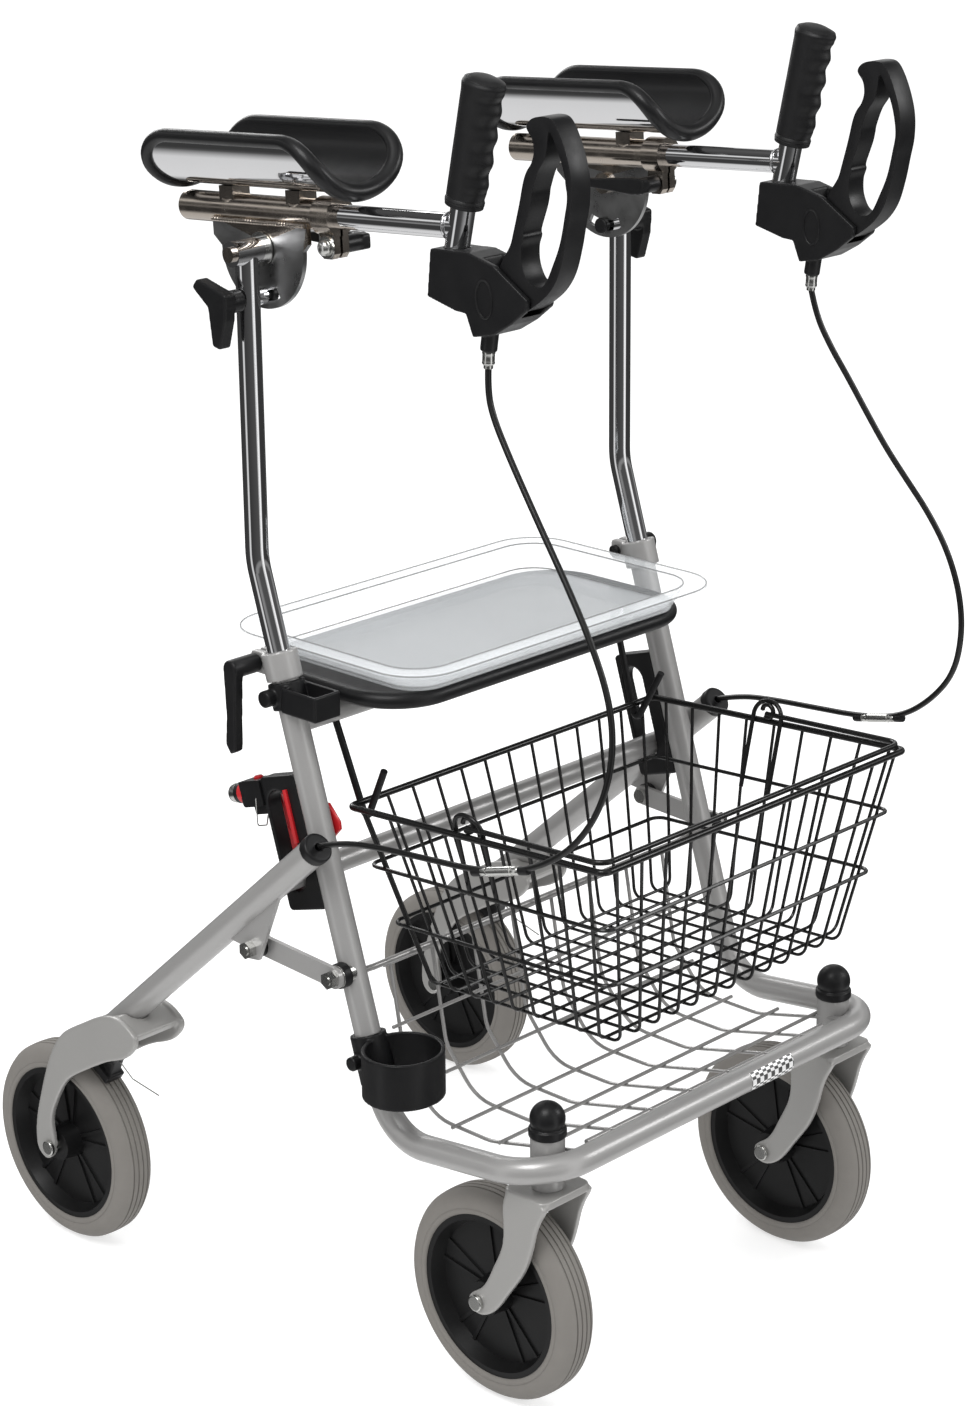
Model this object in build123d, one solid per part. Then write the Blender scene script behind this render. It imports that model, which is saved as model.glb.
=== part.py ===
from build123d import *
import os
from math import atan2, cos, degrees, hypot, radians, sin, tan

# Forearm-support rollator. Millimetres, +Z up, the front of the walker faces -Y and the user's
# left is +X. The origin lies on the floor, midway between the basket's front and the rear tyres.
# Left-hand pieces are modelled at +X and mirrored to make the right-hand ones.

# ---------------------------------------------------------------- driving dimensions
# front frame: two leaning legs joined by a U-shaped front rail
leg_spacing_half = 217.0      # leg centre line from the middle plane
leg_d = 22.0
leg_wall = 1.45
leg_lean = 16.9               # degrees, the tops lean towards the user
leg_top_z = 604.0
leg_ref_y, leg_ref_z = -104.0, 324.0   # a point on the leg's centre line
rail_low_z = 211.0            # where leg and lower rail would meet
rail_front_z = 232.0          # front crossbar
rail_front_y = -305.0
rail_bend_leg = 46.0
rail_bend_corner = 50.0

# wheels
wheel_r = 92.0
tyre_width = 36.0
tyre_bore_r = 71.0
hub_r = 15.0
hub_half = 21.0
axle_r = 4.0
running_gap = 0.05            # radial gap of every pin in its bore
rear_wheel_x, rear_wheel_y = 244.6, 246.0
caster_x, caster_y = 182.0, -279.0
caster_trail = 52.0

# caster stem and sleeve
sleeve_r, sleeve_bore_r = 14.0, 7.0
sleeve_bottom_z, sleeve_top_z = 206.0, 249.5
stem_top_z = 258.0
cap_top_z = 279.0

# forks
fork_gap = 2.6                # hub face to fork arm
fork_arm_t = 5.0
crown_t = 7.5
axle_head_r, axle_head_t = 7.0, 4.0

# rear frame
rear_leg_x = 245.7
rear_leg_d = 24.0
rear_leg_wall = 1.6
rear_top_y, rear_top_z = -84.0, 456.8
rear_foot_y, rear_foot_z = 200.0, 204.9
cross_tube_y = -38.0
cross_tube_d = 19.0
leg_cap_len = 9.0

# fold linkage
pivot_y, pivot_z = -96.6, 348.5        # stay pivot on the front leg
stay_y, stay_z = -10.0, 353.0          # stay pivot on the rear leg's bracket
stay_width, stay_t = 18.0, 4.0
stay_x = 235.5                         # inner face of the stay link
stay_bolt_r = 4.0
bracket_t = 3.5
fold_angle = 37.9                      # the stay's swing, degrees
fold_ratio = -1.83                     # rear frame's turn on the stay over the stay's swing

# slot guides behind the front legs
guide_half_w = 16.2
guide_t = 15.0
guide_slot_play = 2.6
fold_travel = 61.0                     # rise of the cross tube in its slot

# seat, tray, rack
seat_bar_z, seat_bar_d = 548.0, 20.0
seat_half_w = 188.0
seat_front_y, seat_back_y = -122.0, 64.0
seat_top_z, seat_t, seat_rim_r = 575.0, 6.0, 7.0
tray_half_w = 189.0
tray_front_y, tray_back_y = -147.0, 86.0
tray_rim_z, tray_floor_z = 598.0, 576.0
tray_wall, tray_corner_r, tray_flange = 2.2, 42.0, 16.0
rack_t, rack_half_w = 1.2, 196.0

# basket
basket_rim_half_w, basket_floor_half_w = 187.0, 149.0
basket_rim_back_y, basket_rim_front_y = -64.5, -343.0
basket_rim_back_z, basket_rim_front_z = 474.0, 491.0
basket_floor_back_y, basket_floor_front_y = -108.0, -316.0
basket_floor_back_z, basket_floor_front_z = 316.0, 327.0
basket_wall = 2.5
rim_wire_r, bail_wire_r = 3.0, 2.2
bail_pivot_y = -198.0
hook_wire_r = 3.0
basket_lift = 45.0                     # rise that takes the rim off its hooks
hook_low = (166.0, -63.0, 455.0)       # bottom of a hook's bend
hook_tip = (170.0, -89.0, 506.0)

# cane holder
cane_loop_x, cane_loop_y = 219.0, -155.0
cane_loop_rx, cane_loop_ry = 35.0, 33.0
cane_band_z, cane_band_h, cane_band_t = 258.0, 40.0, 3.5
cane_clip_z, cane_clip_half_h = 570.0, 10.5

# posts
post_d = 19.0
post_wall = 1.5
post_bottom_z = 462.0
post_kink_z = 676.0
post_bend_r = 70.0
tilt_pivot_z = 924.0
tee_d, tee_len = 20.0, 32.0
tee_bore_r = 6.05
height_travel_up, height_travel_down = 110.0, 40.0

# armrest, in its own frame: origin on the tilt pivot, rod axis along Y
arm_x = 190.0
arm_tilt = 3.5                         # degrees, front up
rod_up = 28.0                          # rod axis above the tilt pivot
tube_sleeve_r = 12.0
tube_sleeve_back, tube_sleeve_front = 95.0, 77.0
rod_d, rod_wall = 19.0, 1.5
rod_inner_end = 38.0                   # rod end behind the pivot, inside its sleeve
upright_at = 208.0                     # upright's axis ahead of the pivot, at rod height
upright_lean = 16.0
upright_bottom, upright_top = -6.0, 124.0
rod_travel_out, rod_travel_in = 50.0, 65.0
plate_in_x, plate_t = 7.0, 4.0
plate_r = 47.0
slot_r = 36.6
tilt_up, tilt_down = 20.0, 20.0
knob_bolt_r = 4.0
gutter_back, gutter_front = 95.0, 103.0
gutter_half_w, gutter_depth = 48.0, 43.0
gutter_t, pad_t = 2.0, 6.0
gutter_base = 46.5                     # underside of the gutter above the pivot

# brake lever
lever_pivot_f, lever_pivot_u = 262.0, -20.0
lever_pin_r = 3.0
lever_half_w = 10.0
housing_half_w = 15.0
lever_squeeze = 14.0                    # degrees
shoe_gap = 3.0
shoe_turn = 4.0                        # degrees

cable_r = 2.5

# ---------------------------------------------------------------- small helpers
lean_tan = tan(radians(leg_lean))
lean_cos, lean_sin = cos(radians(leg_lean)), sin(radians(leg_lean))


def leg_y(z):
    """Centre line of a front leg at height z."""
    return leg_ref_y + (z - leg_ref_z) * lean_tan


def rear_axis_z(y):
    """Centre line of a rear leg at depth y."""
    slope = (rear_foot_z - rear_top_z) / (rear_foot_y - rear_top_y)
    return rear_top_z + (y - rear_top_y) * slope


def bar(p, q, r):
    """Round bar of radius r from p to q."""
    p, q = Vector(p), Vector(q)
    plane = Plane(origin=p, z_dir=q - p)
    return plane * Cylinder(r, (q - p).length, align=(Align.CENTER, Align.CENTER, Align.MIN))


def pipe(p, q, r_out, r_in):
    return bar(p, q, r_out) - bar(p, q, r_in)


def x_bar(x0, x1, y, z, r):
    """Round bar along X."""
    return bar((x0, y, z), (x1, y, z), r)


def block(x0, x1, y0, y1, z0, z1):
    """Box between two corners."""
    middle = Pos((x0 + x1) / 2, (y0 + y1) / 2, (z0 + z1) / 2)
    return middle * Box(abs(x1 - x0), abs(y1 - y0), abs(z1 - z0))


def side_plate(outline, x0, x1, corner=0.0):
    """A flat outline of (y, z) points, as thick as x0 to x1, with rounded corners."""
    face = make_face(Polyline(*[(0, y, z) for y, z in outline], close=True))
    solid = Pos(x0, 0, 0) * extrude(face, amount=x1 - x0, dir=(1, 0, 0))
    if corner:
        edges = solid.edges().filter_by(Axis.X)
        solid = fillet(edges, corner)
    return solid


def smooth_plate(outline, x0, x1):
    """A smooth closed outline of (y, z) points, as thick as x0 to x1."""
    face = make_face(Spline(*[(0, y, z) for y, z in outline], periodic=True))
    return Pos(x0, 0, 0) * extrude(face, amount=x1 - x0, dir=(1, 0, 0))


def path_of(points, radii):
    return FilletPolyline(*points, radius=radii)


def round_sweep(path, r):
    return sweep(Plane(origin=path @ 0, z_dir=path % 0) * Circle(r), path=path)


def mirrored(solid):
    return mirror(solid, about=Plane.YZ)


def both_sides(solid):
    return Compound(children=[solid, mirrored(solid)])


def solids(*items):
    """Separate solids that share a node."""
    return Compound(children=list(items))


# ---------------------------------------------------------------- front frame
frame_points = [
    (leg_spacing_half, leg_y(leg_top_z), leg_top_z),
    (leg_spacing_half, leg_y(rail_low_z), rail_low_z),
    (leg_spacing_half, rail_front_y, rail_front_z),
    (-leg_spacing_half, rail_front_y, rail_front_z),
    (-leg_spacing_half, leg_y(rail_low_z), rail_low_z),
    (-leg_spacing_half, leg_y(leg_top_z), leg_top_z),
]
frame_radii = [rail_bend_leg, rail_bend_corner, rail_bend_corner, rail_bend_leg]


def front_frame_outer():
    return round_sweep(path_of(frame_points, frame_radii), leg_d / 2)


def front_frame(outer):
    bore = round_sweep(path_of(frame_points, frame_radii), leg_d / 2 - leg_wall)
    tube = outer - bore
    for side in (1, -1):
        tube -= x_bar(side * leg_spacing_half, side * (leg_spacing_half + leg_d), pivot_y, pivot_z, stay_bolt_r)
    return tube


def caster_sleeves(outer):
    sleeve = pipe((caster_x, caster_y, sleeve_bottom_z), (caster_x, caster_y, sleeve_top_z),
                  sleeve_r, sleeve_bore_r)
    return both_sides(sleeve - outer)


def caster_caps():
    base_h = 8.0
    ball_r = 14.5
    base = bar((caster_x, caster_y, sleeve_top_z), (caster_x, caster_y, sleeve_top_z + base_h), 15.5)
    base = fillet(base.edges(), 1.5)
    ball = Pos(caster_x, caster_y, cap_top_z - ball_r) * Sphere(ball_r)
    hollow = bar((caster_x, caster_y, sleeve_top_z - 1), (caster_x, caster_y, stem_top_z + 1.5), 9.0)
    floor_cut = block(caster_x - 20, caster_x + 20, caster_y - 20, caster_y + 20,
                      sleeve_top_z - 20, sleeve_top_z)
    return both_sides(base + ball - hollow - floor_cut)


clamp_h = 22.0
clamp_bolt_z = 593.0
clamp_bolt_back = 21.0
clamp_bolt_r = 3.0
ear_gap = 3.0


def clamp_bolt_y():
    return leg_y(clamp_bolt_z) + clamp_bolt_back


def post_clamp():
    """Collar on the leg's open top, with two ears drawn together by the lever's bolt."""
    low, high = leg_top_z - clamp_h, leg_top_z
    ring_r = leg_d / 2 + 4.0
    lower = (leg_spacing_half, leg_y(low), low)
    upper = (leg_spacing_half, leg_y(high), high)
    ring = bar(lower, upper, ring_r)
    y, z = clamp_bolt_y(), clamp_bolt_z
    ears = side_plate([(y - 24, z - 9), (y + 7, z - 9), (y + 7, z + 9), (y - 18, z + 9)],
                      leg_spacing_half - 8, leg_spacing_half + 8, 3.0)
    body = ring + ears
    body -= bar((leg_spacing_half, leg_y(low - 20), low - 20), (leg_spacing_half, leg_y(high + 20), high + 20),
                leg_d / 2)
    body -= block(leg_spacing_half - ear_gap / 2, leg_spacing_half + ear_gap / 2, y - 22, y + 12,
                  z - 20, z + 20)
    body -= x_bar(leg_spacing_half - 20, leg_spacing_half + 20, y, z, clamp_bolt_r + running_gap)
    return body


def clamp_lever():
    """Ratchet lever with its bolt: a round hub outboard and a handle that hangs down."""
    y, z = clamp_bolt_y(), clamp_bolt_z
    x0 = leg_spacing_half + 8.3
    hub = bar((x0, y, z), (x0 + 30, y, z), 8.0)
    hub = fillet(hub.edges(), 2.0)
    handle = side_plate([(y - 7.5, z + 2), (y + 7.5, z + 2), (y + 5.5, z - 40), (y + 7.5, z - 64),
                         (y + 2, z - 72), (y - 4, z - 68), (y - 5, z - 40)], x0 + 21, x0 + 30, 2.0)
    bolt = x_bar(leg_spacing_half - 8.3, x0 + 5, y, z, clamp_bolt_r)
    nut = x_bar(leg_spacing_half - 13.0, leg_spacing_half - 8.3, y, z, 5.5)
    return hub + handle + bolt + nut


def seat_crossbar(outer):
    x = leg_spacing_half
    return x_bar(-x, x, leg_y(seat_bar_z), seat_bar_z, seat_bar_d / 2) \
        - x_bar(-x, x, leg_y(seat_bar_z), seat_bar_z, seat_bar_d / 2 - 1.5) - outer


def seat_plate():
    """Moulded seat: a flat ribbed plate inside a round rim, with a saddle over its crossbar."""
    y_mid = (seat_front_y + seat_back_y) / 2
    depth = seat_back_y - seat_front_y
    corner = 50.0
    rim_z = seat_top_z - seat_rim_r
    core = Rectangle(2 * (seat_half_w - seat_rim_r), depth - 2 * seat_rim_r)
    core = fillet(core.vertices(), corner)
    plate = Pos(0, y_mid, seat_top_z - 2 - seat_t) * extrude(core, amount=seat_t)
    edge = core.face().outer_wire()
    rim_path = Pos(0, y_mid, rim_z) * edge
    rim = sweep(Plane(origin=rim_path @ 0, z_dir=rim_path % 0) * Circle(seat_rim_r), path=rim_path)
    seat = plate + rim
    rib_h, rib_w, rib_pitch = 3.0, 3.0, 12.0
    for i in range(-6, 7):
        y = y_mid + i * rib_pitch
        seat += block(-seat_half_w + 16, seat_half_w - 16, y - rib_w / 2, y + rib_w / 2,
                      seat_top_z - 2 - seat_t - rib_h, seat_top_z - 2 - seat_t + 0.5)
    bar_y = leg_y(seat_bar_z)
    for x in (-120, 120):
        saddle = block(x - 14, x + 14, bar_y - 14, bar_y + 14, seat_bar_z, seat_top_z - 4)
        seat += saddle
    seat -= x_bar(-seat_half_w, seat_half_w, bar_y, seat_bar_z, seat_bar_d / 2)
    return seat


def tray():
    """Clear lift-off tray with a flanged rim."""
    y_mid = (tray_front_y + tray_back_y) / 2
    w, d = 2 * tray_half_w, tray_back_y - tray_front_y

    def slab(inset, z, h):
        face = Rectangle(w - 2 * inset, d - 2 * inset)
        face = fillet(face.vertices(), tray_corner_r - inset * 0.5)
        return Pos(0, y_mid, z) * extrude(face, amount=h)

    def bowl(top_inset, floor_inset, z0, z1):
        low = Rectangle(w - 2 * floor_inset, d - 2 * floor_inset)
        low = Pos(0, y_mid, z0) * fillet(low.vertices(), tray_corner_r - floor_inset * 0.5)
        high = Rectangle(w - 2 * top_inset, d - 2 * top_inset)
        high = Pos(0, y_mid, z1) * fillet(high.vertices(), tray_corner_r - top_inset * 0.5)
        return loft([low.face(), high.face()])

    floor_inset = tray_flange + 10.0
    flange = slab(0, tray_rim_z - tray_wall, tray_wall)
    shell = bowl(tray_flange, floor_inset, tray_floor_z, tray_rim_z)
    inside = bowl(tray_flange + tray_wall, floor_inset + tray_wall, tray_floor_z + tray_wall, tray_rim_z + 0.01)
    return flange + shell - inside


# ---------------------------------------------------------------- slot guides and fold lock
slot_back = (cross_tube_y - leg_y(rear_axis_z(cross_tube_y))) * lean_cos   # slot behind the leg
slot_s0 = (rear_axis_z(cross_tube_y) - leg_ref_z) / lean_cos \
    + (cross_tube_y - leg_y(rear_axis_z(cross_tube_y))) * lean_sin          # along the leg


def leg_point(along, back):
    """(y, z) of a place measured along the leg from its reference point and square behind it."""
    y = leg_ref_y + along * lean_sin + back * lean_cos
    z = leg_ref_z + along * lean_cos - back * lean_sin
    return y, z


def guide_outline(a0, a1, b0, b1):
    return [leg_point(a0, b0), leg_point(a0, b1), leg_point(a1, b1), leg_point(a1, b0)]


guide_slot_half = cross_tube_d / 2 + guide_slot_play
guide_back_edge = slot_back + guide_half_w
guide_a0 = slot_s0 - guide_slot_half - 16.0
guide_a1 = slot_s0 + fold_travel + guide_slot_half + 12.0


def fold_guide():
    """Plastic loop behind the leg: the rear frame's cross tube slides in its long slot."""
    x0, x1 = leg_spacing_half - guide_t / 2, leg_spacing_half + guide_t / 2
    body = side_plate(guide_outline(guide_a0, guide_a1, leg_d / 2 - 4, guide_back_edge), x0, x1, 4.0)
    slot = side_plate(guide_outline(slot_s0 - guide_slot_half, slot_s0 + fold_travel + guide_slot_half,
                                    slot_back - guide_slot_half, slot_back + guide_slot_half),
                      x0 - 5, x1 + 5, guide_slot_half - 0.2)
    y0, z0 = leg_point(guide_a0 - 30, 0)
    y1, z1 = leg_point(guide_a1 + 30, 0)
    return body - slot - bar((leg_spacing_half, y0, z0), (leg_spacing_half, y1, z1), leg_d / 2)


latch_pin_a = slot_s0 + 62.0
latch_pin_b = slot_back + 24.0
latch_t = 4.2
latch_x0 = leg_spacing_half - leg_d / 2 - 0.7 - latch_t      # inboard of the leg
latch_ratio = 1.3                       # latch's turn over the stay's swing


def fold_lock():
    """Push-button block on the back of the right-hand guide, with the latch's pivot pin."""
    x = leg_spacing_half
    a_top = guide_a1 - 4
    body = side_plate(guide_outline(a_top - 20, a_top + 2, guide_back_edge, guide_back_edge + 26),
                      x - 9, x + 9, 3.0)
    y0, z0 = leg_point(a_top - 9, guide_back_edge + 24)
    y1, z1 = leg_point(a_top - 9, guide_back_edge + 36)
    collar = bar((x, y0, z0), (x, y1, z1), 9.0)
    y2, z2 = leg_point(a_top - 9, guide_back_edge + 44)
    button = bar((x, y1, z1), (x, y2, z2), 7.5)
    stem = side_plate(guide_outline(latch_pin_a - 8, a_top - 16, guide_back_edge, guide_back_edge + 16),
                      x - 6, x + 6, 2.0)
    yp, zp = leg_point(latch_pin_a, latch_pin_b)
    pin = x_bar(latch_x0, x + 6, yp, zp, 3.0)
    return mirrored(body + collar + button + stem + pin)


def fold_latch():
    """Red wedge that hangs from its pin with its nose over the back of the cross tube."""
    yp, zp = leg_point(latch_pin_a, latch_pin_b)
    nose = cross_tube_d / 2
    shape = [(70, 30), (70, 18), (60, 16.5), (36, 17), (30, nose - 5.5), (26, nose - 7), (2, nose + 2.6),
             (-2, nose + 6.5), (6, nose + 14.5), (40, 28), (62, 32)]
    outline = [leg_point(slot_s0 + a, slot_back + b) for a, b in shape]
    plate = side_plate(outline, latch_x0, latch_x0 + latch_t, 1.0)
    return mirrored(plate - x_bar(latch_x0 - 5, latch_x0 + 15, yp, zp, 3.0 + running_gap))


# ---------------------------------------------------------------- rack, hangers, cane holder
rack_rear_z = 342.0
rack_rear_y = leg_y(rack_rear_z) + 8.0


def luggage_rack(outer):
    """Hammock between a rod across the legs and the front rail."""
    line = [(0, rack_rear_y, rack_rear_z), (0, rack_rear_y - 16, 254), (0, rack_rear_y - 50, 214),
            (0, rack_rear_y - 114, 214), (0, rail_front_y + leg_d / 2 + 1.5, rail_front_z)]
    path = path_of(line, [25.0, 40.0, 50.0])
    profile = Plane(origin=path @ 0, x_dir=(1, 0, 0), z_dir=path % 0) * Rectangle(2 * rack_half_w, rack_t)
    sheet = sweep(profile, path=path)
    rod = x_bar(-leg_spacing_half, leg_spacing_half, rack_rear_y, rack_rear_z, 3.5)
    front_wire = x_bar(-rack_half_w + 46, rack_half_w - 46, rail_front_y + leg_d / 2 + 3.5, rail_front_z + 2, 3.0)
    corners = both_sides(bar((caster_x, caster_y, 190), (caster_x, caster_y, 300), sleeve_r + 2))
    return sheet + rod + front_wire - outer - corners


def basket_hangers():
    """Bent rods that hang from the seat crossbar and end in open hooks."""
    y_top = leg_y(seat_bar_z)
    top = (hook_low[0] + 6, y_top + 2, seat_bar_z - seat_bar_d / 2 + 3)
    rod = round_sweep(path_of([top, hook_low, hook_tip], [4.0]), hook_wire_r)
    cut = x_bar(-leg_spacing_half, leg_spacing_half, y_top, seat_bar_z, seat_bar_d / 2)
    return both_sides(rod - cut)


def cane_holder():
    """Band round the right leg that widens into a cup, and a strap clip higher up the leg."""
    z0, z1 = cane_band_z, cane_band_z + cane_band_h
    outer = Pos(cane_loop_x, cane_loop_y, z0) * extrude(Ellipse(cane_loop_rx, cane_loop_ry), amount=z1 - z0)
    inner = Pos(cane_loop_x, cane_loop_y, z0 - 1) * extrude(
        Ellipse(cane_loop_rx - cane_band_t, cane_loop_ry - cane_band_t), amount=z1 - z0 + 2)
    low, high = (leg_spacing_half, leg_y(z0), z0), (leg_spacing_half, leg_y(z1), z1)
    grip_low = (leg_spacing_half, leg_y(z0 - 20), z0 - 20)
    grip_high = (leg_spacing_half, leg_y(z1 + 20), z1 + 20)
    ring = bar(low, high, leg_d / 2 + 4)
    bolt = x_bar(leg_spacing_half + leg_d / 2, leg_spacing_half + leg_d / 2 + 12, leg_y(z0 + 20) + 3, z0 + 20, 6.0)
    cup = outer - inner + ring + bolt - bar(grip_low, grip_high, leg_d / 2)
    zc = cane_clip_z
    h = cane_clip_half_h
    clip = bar((leg_spacing_half, leg_y(zc - h), zc - h), (leg_spacing_half, leg_y(zc + h), zc + h), leg_d / 2 + 4)
    y = leg_y(zc)
    clip += x_bar(leg_spacing_half + 12, leg_spacing_half + 24, y + 4, zc, 7.0)
    strap = block(leg_spacing_half - 12, leg_spacing_half + 16, y - 48, y - 8, zc - h, zc + h)
    strap -= block(leg_spacing_half - 9, leg_spacing_half + 13, y - 45, y - 11, zc - h - 1, zc + h + 1)
    clip += strap
    clip -= bar((leg_spacing_half, leg_y(zc - 40), zc - 40), (leg_spacing_half, leg_y(zc + 40), zc + 40), leg_d / 2)
    return solids(mirrored(cup), mirrored(clip))


# ---------------------------------------------------------------- rear frame and stays
def rear_leg_line():
    return (rear_leg_x, rear_top_y, rear_top_z), (rear_leg_x, rear_foot_y, rear_foot_z)


def rear_frame():
    """Two legs welded to a cross tube, with a bracket plate under each leg."""
    cross_z = rear_axis_z(cross_tube_y)
    cross = x_bar(-rear_leg_x, rear_leg_x, cross_tube_y, cross_z, cross_tube_d / 2)
    top, foot = rear_leg_line()
    outer = bar(top, foot, rear_leg_d / 2)
    x0 = rear_leg_x + 1.0
    plate = side_plate([(stay_y - 46, rear_axis_z(stay_y - 46)), (stay_y - 9, stay_z - 8),
                        (stay_y + 6, stay_z - 10), (stay_y + 12, stay_z), (stay_y + 40, rear_axis_z(stay_y + 40))],
                       x0, x0 + bracket_t)
    plate = plate - x_bar(x0 - 5, x0 + 10, stay_y, stay_z, stay_bolt_r)
    frame = cross + both_sides(outer + plate)
    for leg in ((top, foot), (tuple([-top[0], *top[1:]]), tuple([-foot[0], *foot[1:]]))):
        frame -= bar(*leg, rear_leg_d / 2 - rear_leg_wall)
    frame -= x_bar(-rear_leg_x + 14, rear_leg_x - 14, cross_tube_y, cross_z, cross_tube_d / 2 - 1.5)
    return frame


def rear_leg_caps():
    """Black end plugs whose faces take the brake cables."""
    top, foot = Vector(*rear_leg_line()[0]), Vector(*rear_leg_line()[1])
    up = (top - foot).normalized()
    plug = bar(top - up * 14, top, rear_leg_d / 2 - rear_leg_wall)
    cap = bar(top, top + up * leg_cap_len, rear_leg_d / 2 + 1.0)
    cap = fillet(cap.edges().sort_by(Axis.Z)[-1:], 2.0)
    entry = bar(top - up * 20, top + up * 20, cable_r + 0.6)
    return both_sides(plug + cap - entry)


def stay_link():
    """Flat bar from the front leg to the rear leg's bracket."""
    length = hypot(stay_y - pivot_y, stay_z - pivot_z)
    turn = degrees(atan2(stay_z - pivot_z, stay_y - pivot_y))
    face = SlotCenterToCenter(length, stay_width)
    face -= Pos(-length / 2, 0) * Circle(stay_bolt_r + running_gap)
    face -= Pos(length / 2, 0) * Circle(stay_bolt_r + running_gap)
    bar_solid = extrude(face, amount=stay_t)
    place = Plane(origin=(stay_x, (stay_y + pivot_y) / 2, (stay_z + pivot_z) / 2),
                  x_dir=(0, cos(radians(turn)), sin(radians(turn))), z_dir=(1, 0, 0))
    return place * bar_solid


nut_r, nut_h = 7.5, 7.0


def hex_nut(x, y, z):
    return Plane(origin=(x, y, z), z_dir=(1, 0, 0)) * extrude(RegularPolygon(nut_r, 6), amount=nut_h)


def leg_pivot_bolt(outer):
    """Stud from the front leg's outer wall with a spacer, holding the stay's lower end."""
    x_leg = leg_spacing_half
    bolt = x_bar(x_leg + 4, stay_x + stay_t + 8, pivot_y, pivot_z, stay_bolt_r)
    spacer = x_bar(x_leg, stay_x - 0.3, pivot_y, pivot_z, 10.0) - outer
    return bolt + spacer + hex_nut(stay_x + stay_t + 0.3, pivot_y, pivot_z)


def bracket_pivot_bolt():
    """Bolt through the rear leg's bracket, holding the stay's upper end."""
    x_plate = rear_leg_x + 1.0
    bolt = x_bar(stay_x - 4, x_plate + bracket_t + 8, stay_y, stay_z, stay_bolt_r)
    head = x_bar(stay_x - 4.5, stay_x - 0.3, stay_y, stay_z, 6.5)
    spacer = x_bar(stay_x + stay_t + 0.3, x_plate, stay_y, stay_z, 9.0)
    return bolt + head + spacer + hex_nut(x_plate + bracket_t, stay_y, stay_z)


# ---------------------------------------------------------------- wheels and forks
def tyre(x, y):
    """Grooved tyre of round shoulder, turned about the axle."""
    half = tyre_width / 2
    outline = [(tyre_bore_r, -half + 1), (wheel_r - 15, -half), (wheel_r - 5, -half + 3),
               (wheel_r - 0.8, -half + 9), (wheel_r, -5), (wheel_r, 5), (wheel_r - 0.8, half - 9),
               (wheel_r - 5, half - 3), (wheel_r - 15, half), (tyre_bore_r, half - 1)]
    face = make_face(Polyline(*[(w, 0, r) for r, w in outline], close=True))
    groove_w, groove_d = 1.2, 1.6
    for w in (-9.0, -3.0, 3.0, 9.0):
        w0, w1 = w - groove_w / 2, w + groove_w / 2
        r0, r1 = wheel_r - groove_d - 1, wheel_r + 1
        face -= make_face(Polyline((w0, 0, r0), (w1, 0, r0), (w1, 0, r1), (w0, 0, r1), close=True))
    return Pos(x, y, wheel_r) * revolve(face, axis=Axis.X)


def rim(x, y):
    """Moulded disc rim: a seat ring, a dished web with five pairs of ribs, and a hub."""
    seat_half = tyre_width / 2 - 2.0
    web_half = 4.0
    ring_t = 5.0
    outline = [(axle_r + running_gap, -hub_half), (hub_r, -hub_half), (hub_r + 2, -web_half),
               (tyre_bore_r - ring_t - 5, -web_half), (tyre_bore_r - ring_t, -seat_half), (tyre_bore_r, -seat_half),
               (tyre_bore_r, seat_half), (tyre_bore_r - ring_t, seat_half), (tyre_bore_r - ring_t - 5, web_half),
               (hub_r + 2, web_half), (hub_r, hub_half), (axle_r + running_gap, hub_half)]
    wheel = revolve(make_face(Polyline(*[(w, 0, r) for r, w in outline], close=True)), axis=Axis.X)
    rib_w, rib_out = 3.0, 1.6
    for i in range(5):
        for tilt in (-9, 9):
            rib = block(-web_half - rib_out, web_half + rib_out, -rib_w / 2, rib_w / 2,
                        hub_r + 1, tyre_bore_r - ring_t)
            wheel += Rot(72 * i + tilt, 0, 0) * rib
    return Pos(x, y, wheel_r) * wheel


arm_in = hub_half + fork_gap
arm_out = arm_in + fork_arm_t


def fork_arms(x, y, outline):
    """A pair of flat curved arms either side of a wheel, with the axle's holes."""
    arms = [smooth_plate(outline, x + arm_in, x + arm_out), smooth_plate(outline, x - arm_out, x - arm_in)]
    hole = x_bar(x - 50, x + 50, y, wheel_r, axle_r)
    return (arms[0] - hole) + (arms[1] - hole)


def caster_fork():
    """Crown under the sleeve with two banana-shaped arms that trail to the axle."""
    y_axle = caster_y + caster_trail
    top = sleeve_bottom_z - 0.3
    outline = [(caster_y - 21, top - 4), (caster_y - 2, top - 0.5), (caster_y + 19, top - 4),
               (caster_y + 23, wheel_r + 86), (caster_y + 24, wheel_r + 63), (caster_y + 36, wheel_r + 35),
               (y_axle - 1, wheel_r + 12), (y_axle + 10, wheel_r + 1), (y_axle + 3, wheel_r - 10),
               (y_axle - 8, wheel_r - 9), (caster_y + 19, wheel_r + 18), (caster_y, wheel_r + 47),
               (caster_y - 9, wheel_r + 74), (caster_y - 18, wheel_r + 99)]
    arms = fork_arms(caster_x, y_axle, outline)
    crown = block(caster_x - arm_out, caster_x + arm_out, caster_y - 22, caster_y + 24, top - crown_t, top)
    crown = fillet(crown.edges().filter_by(Axis.Z), 8.0)
    stem = bar((caster_x, caster_y, top - crown_t), (caster_x, caster_y, stem_top_z), sleeve_bore_r - running_gap)
    return crown + arms + stem


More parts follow.
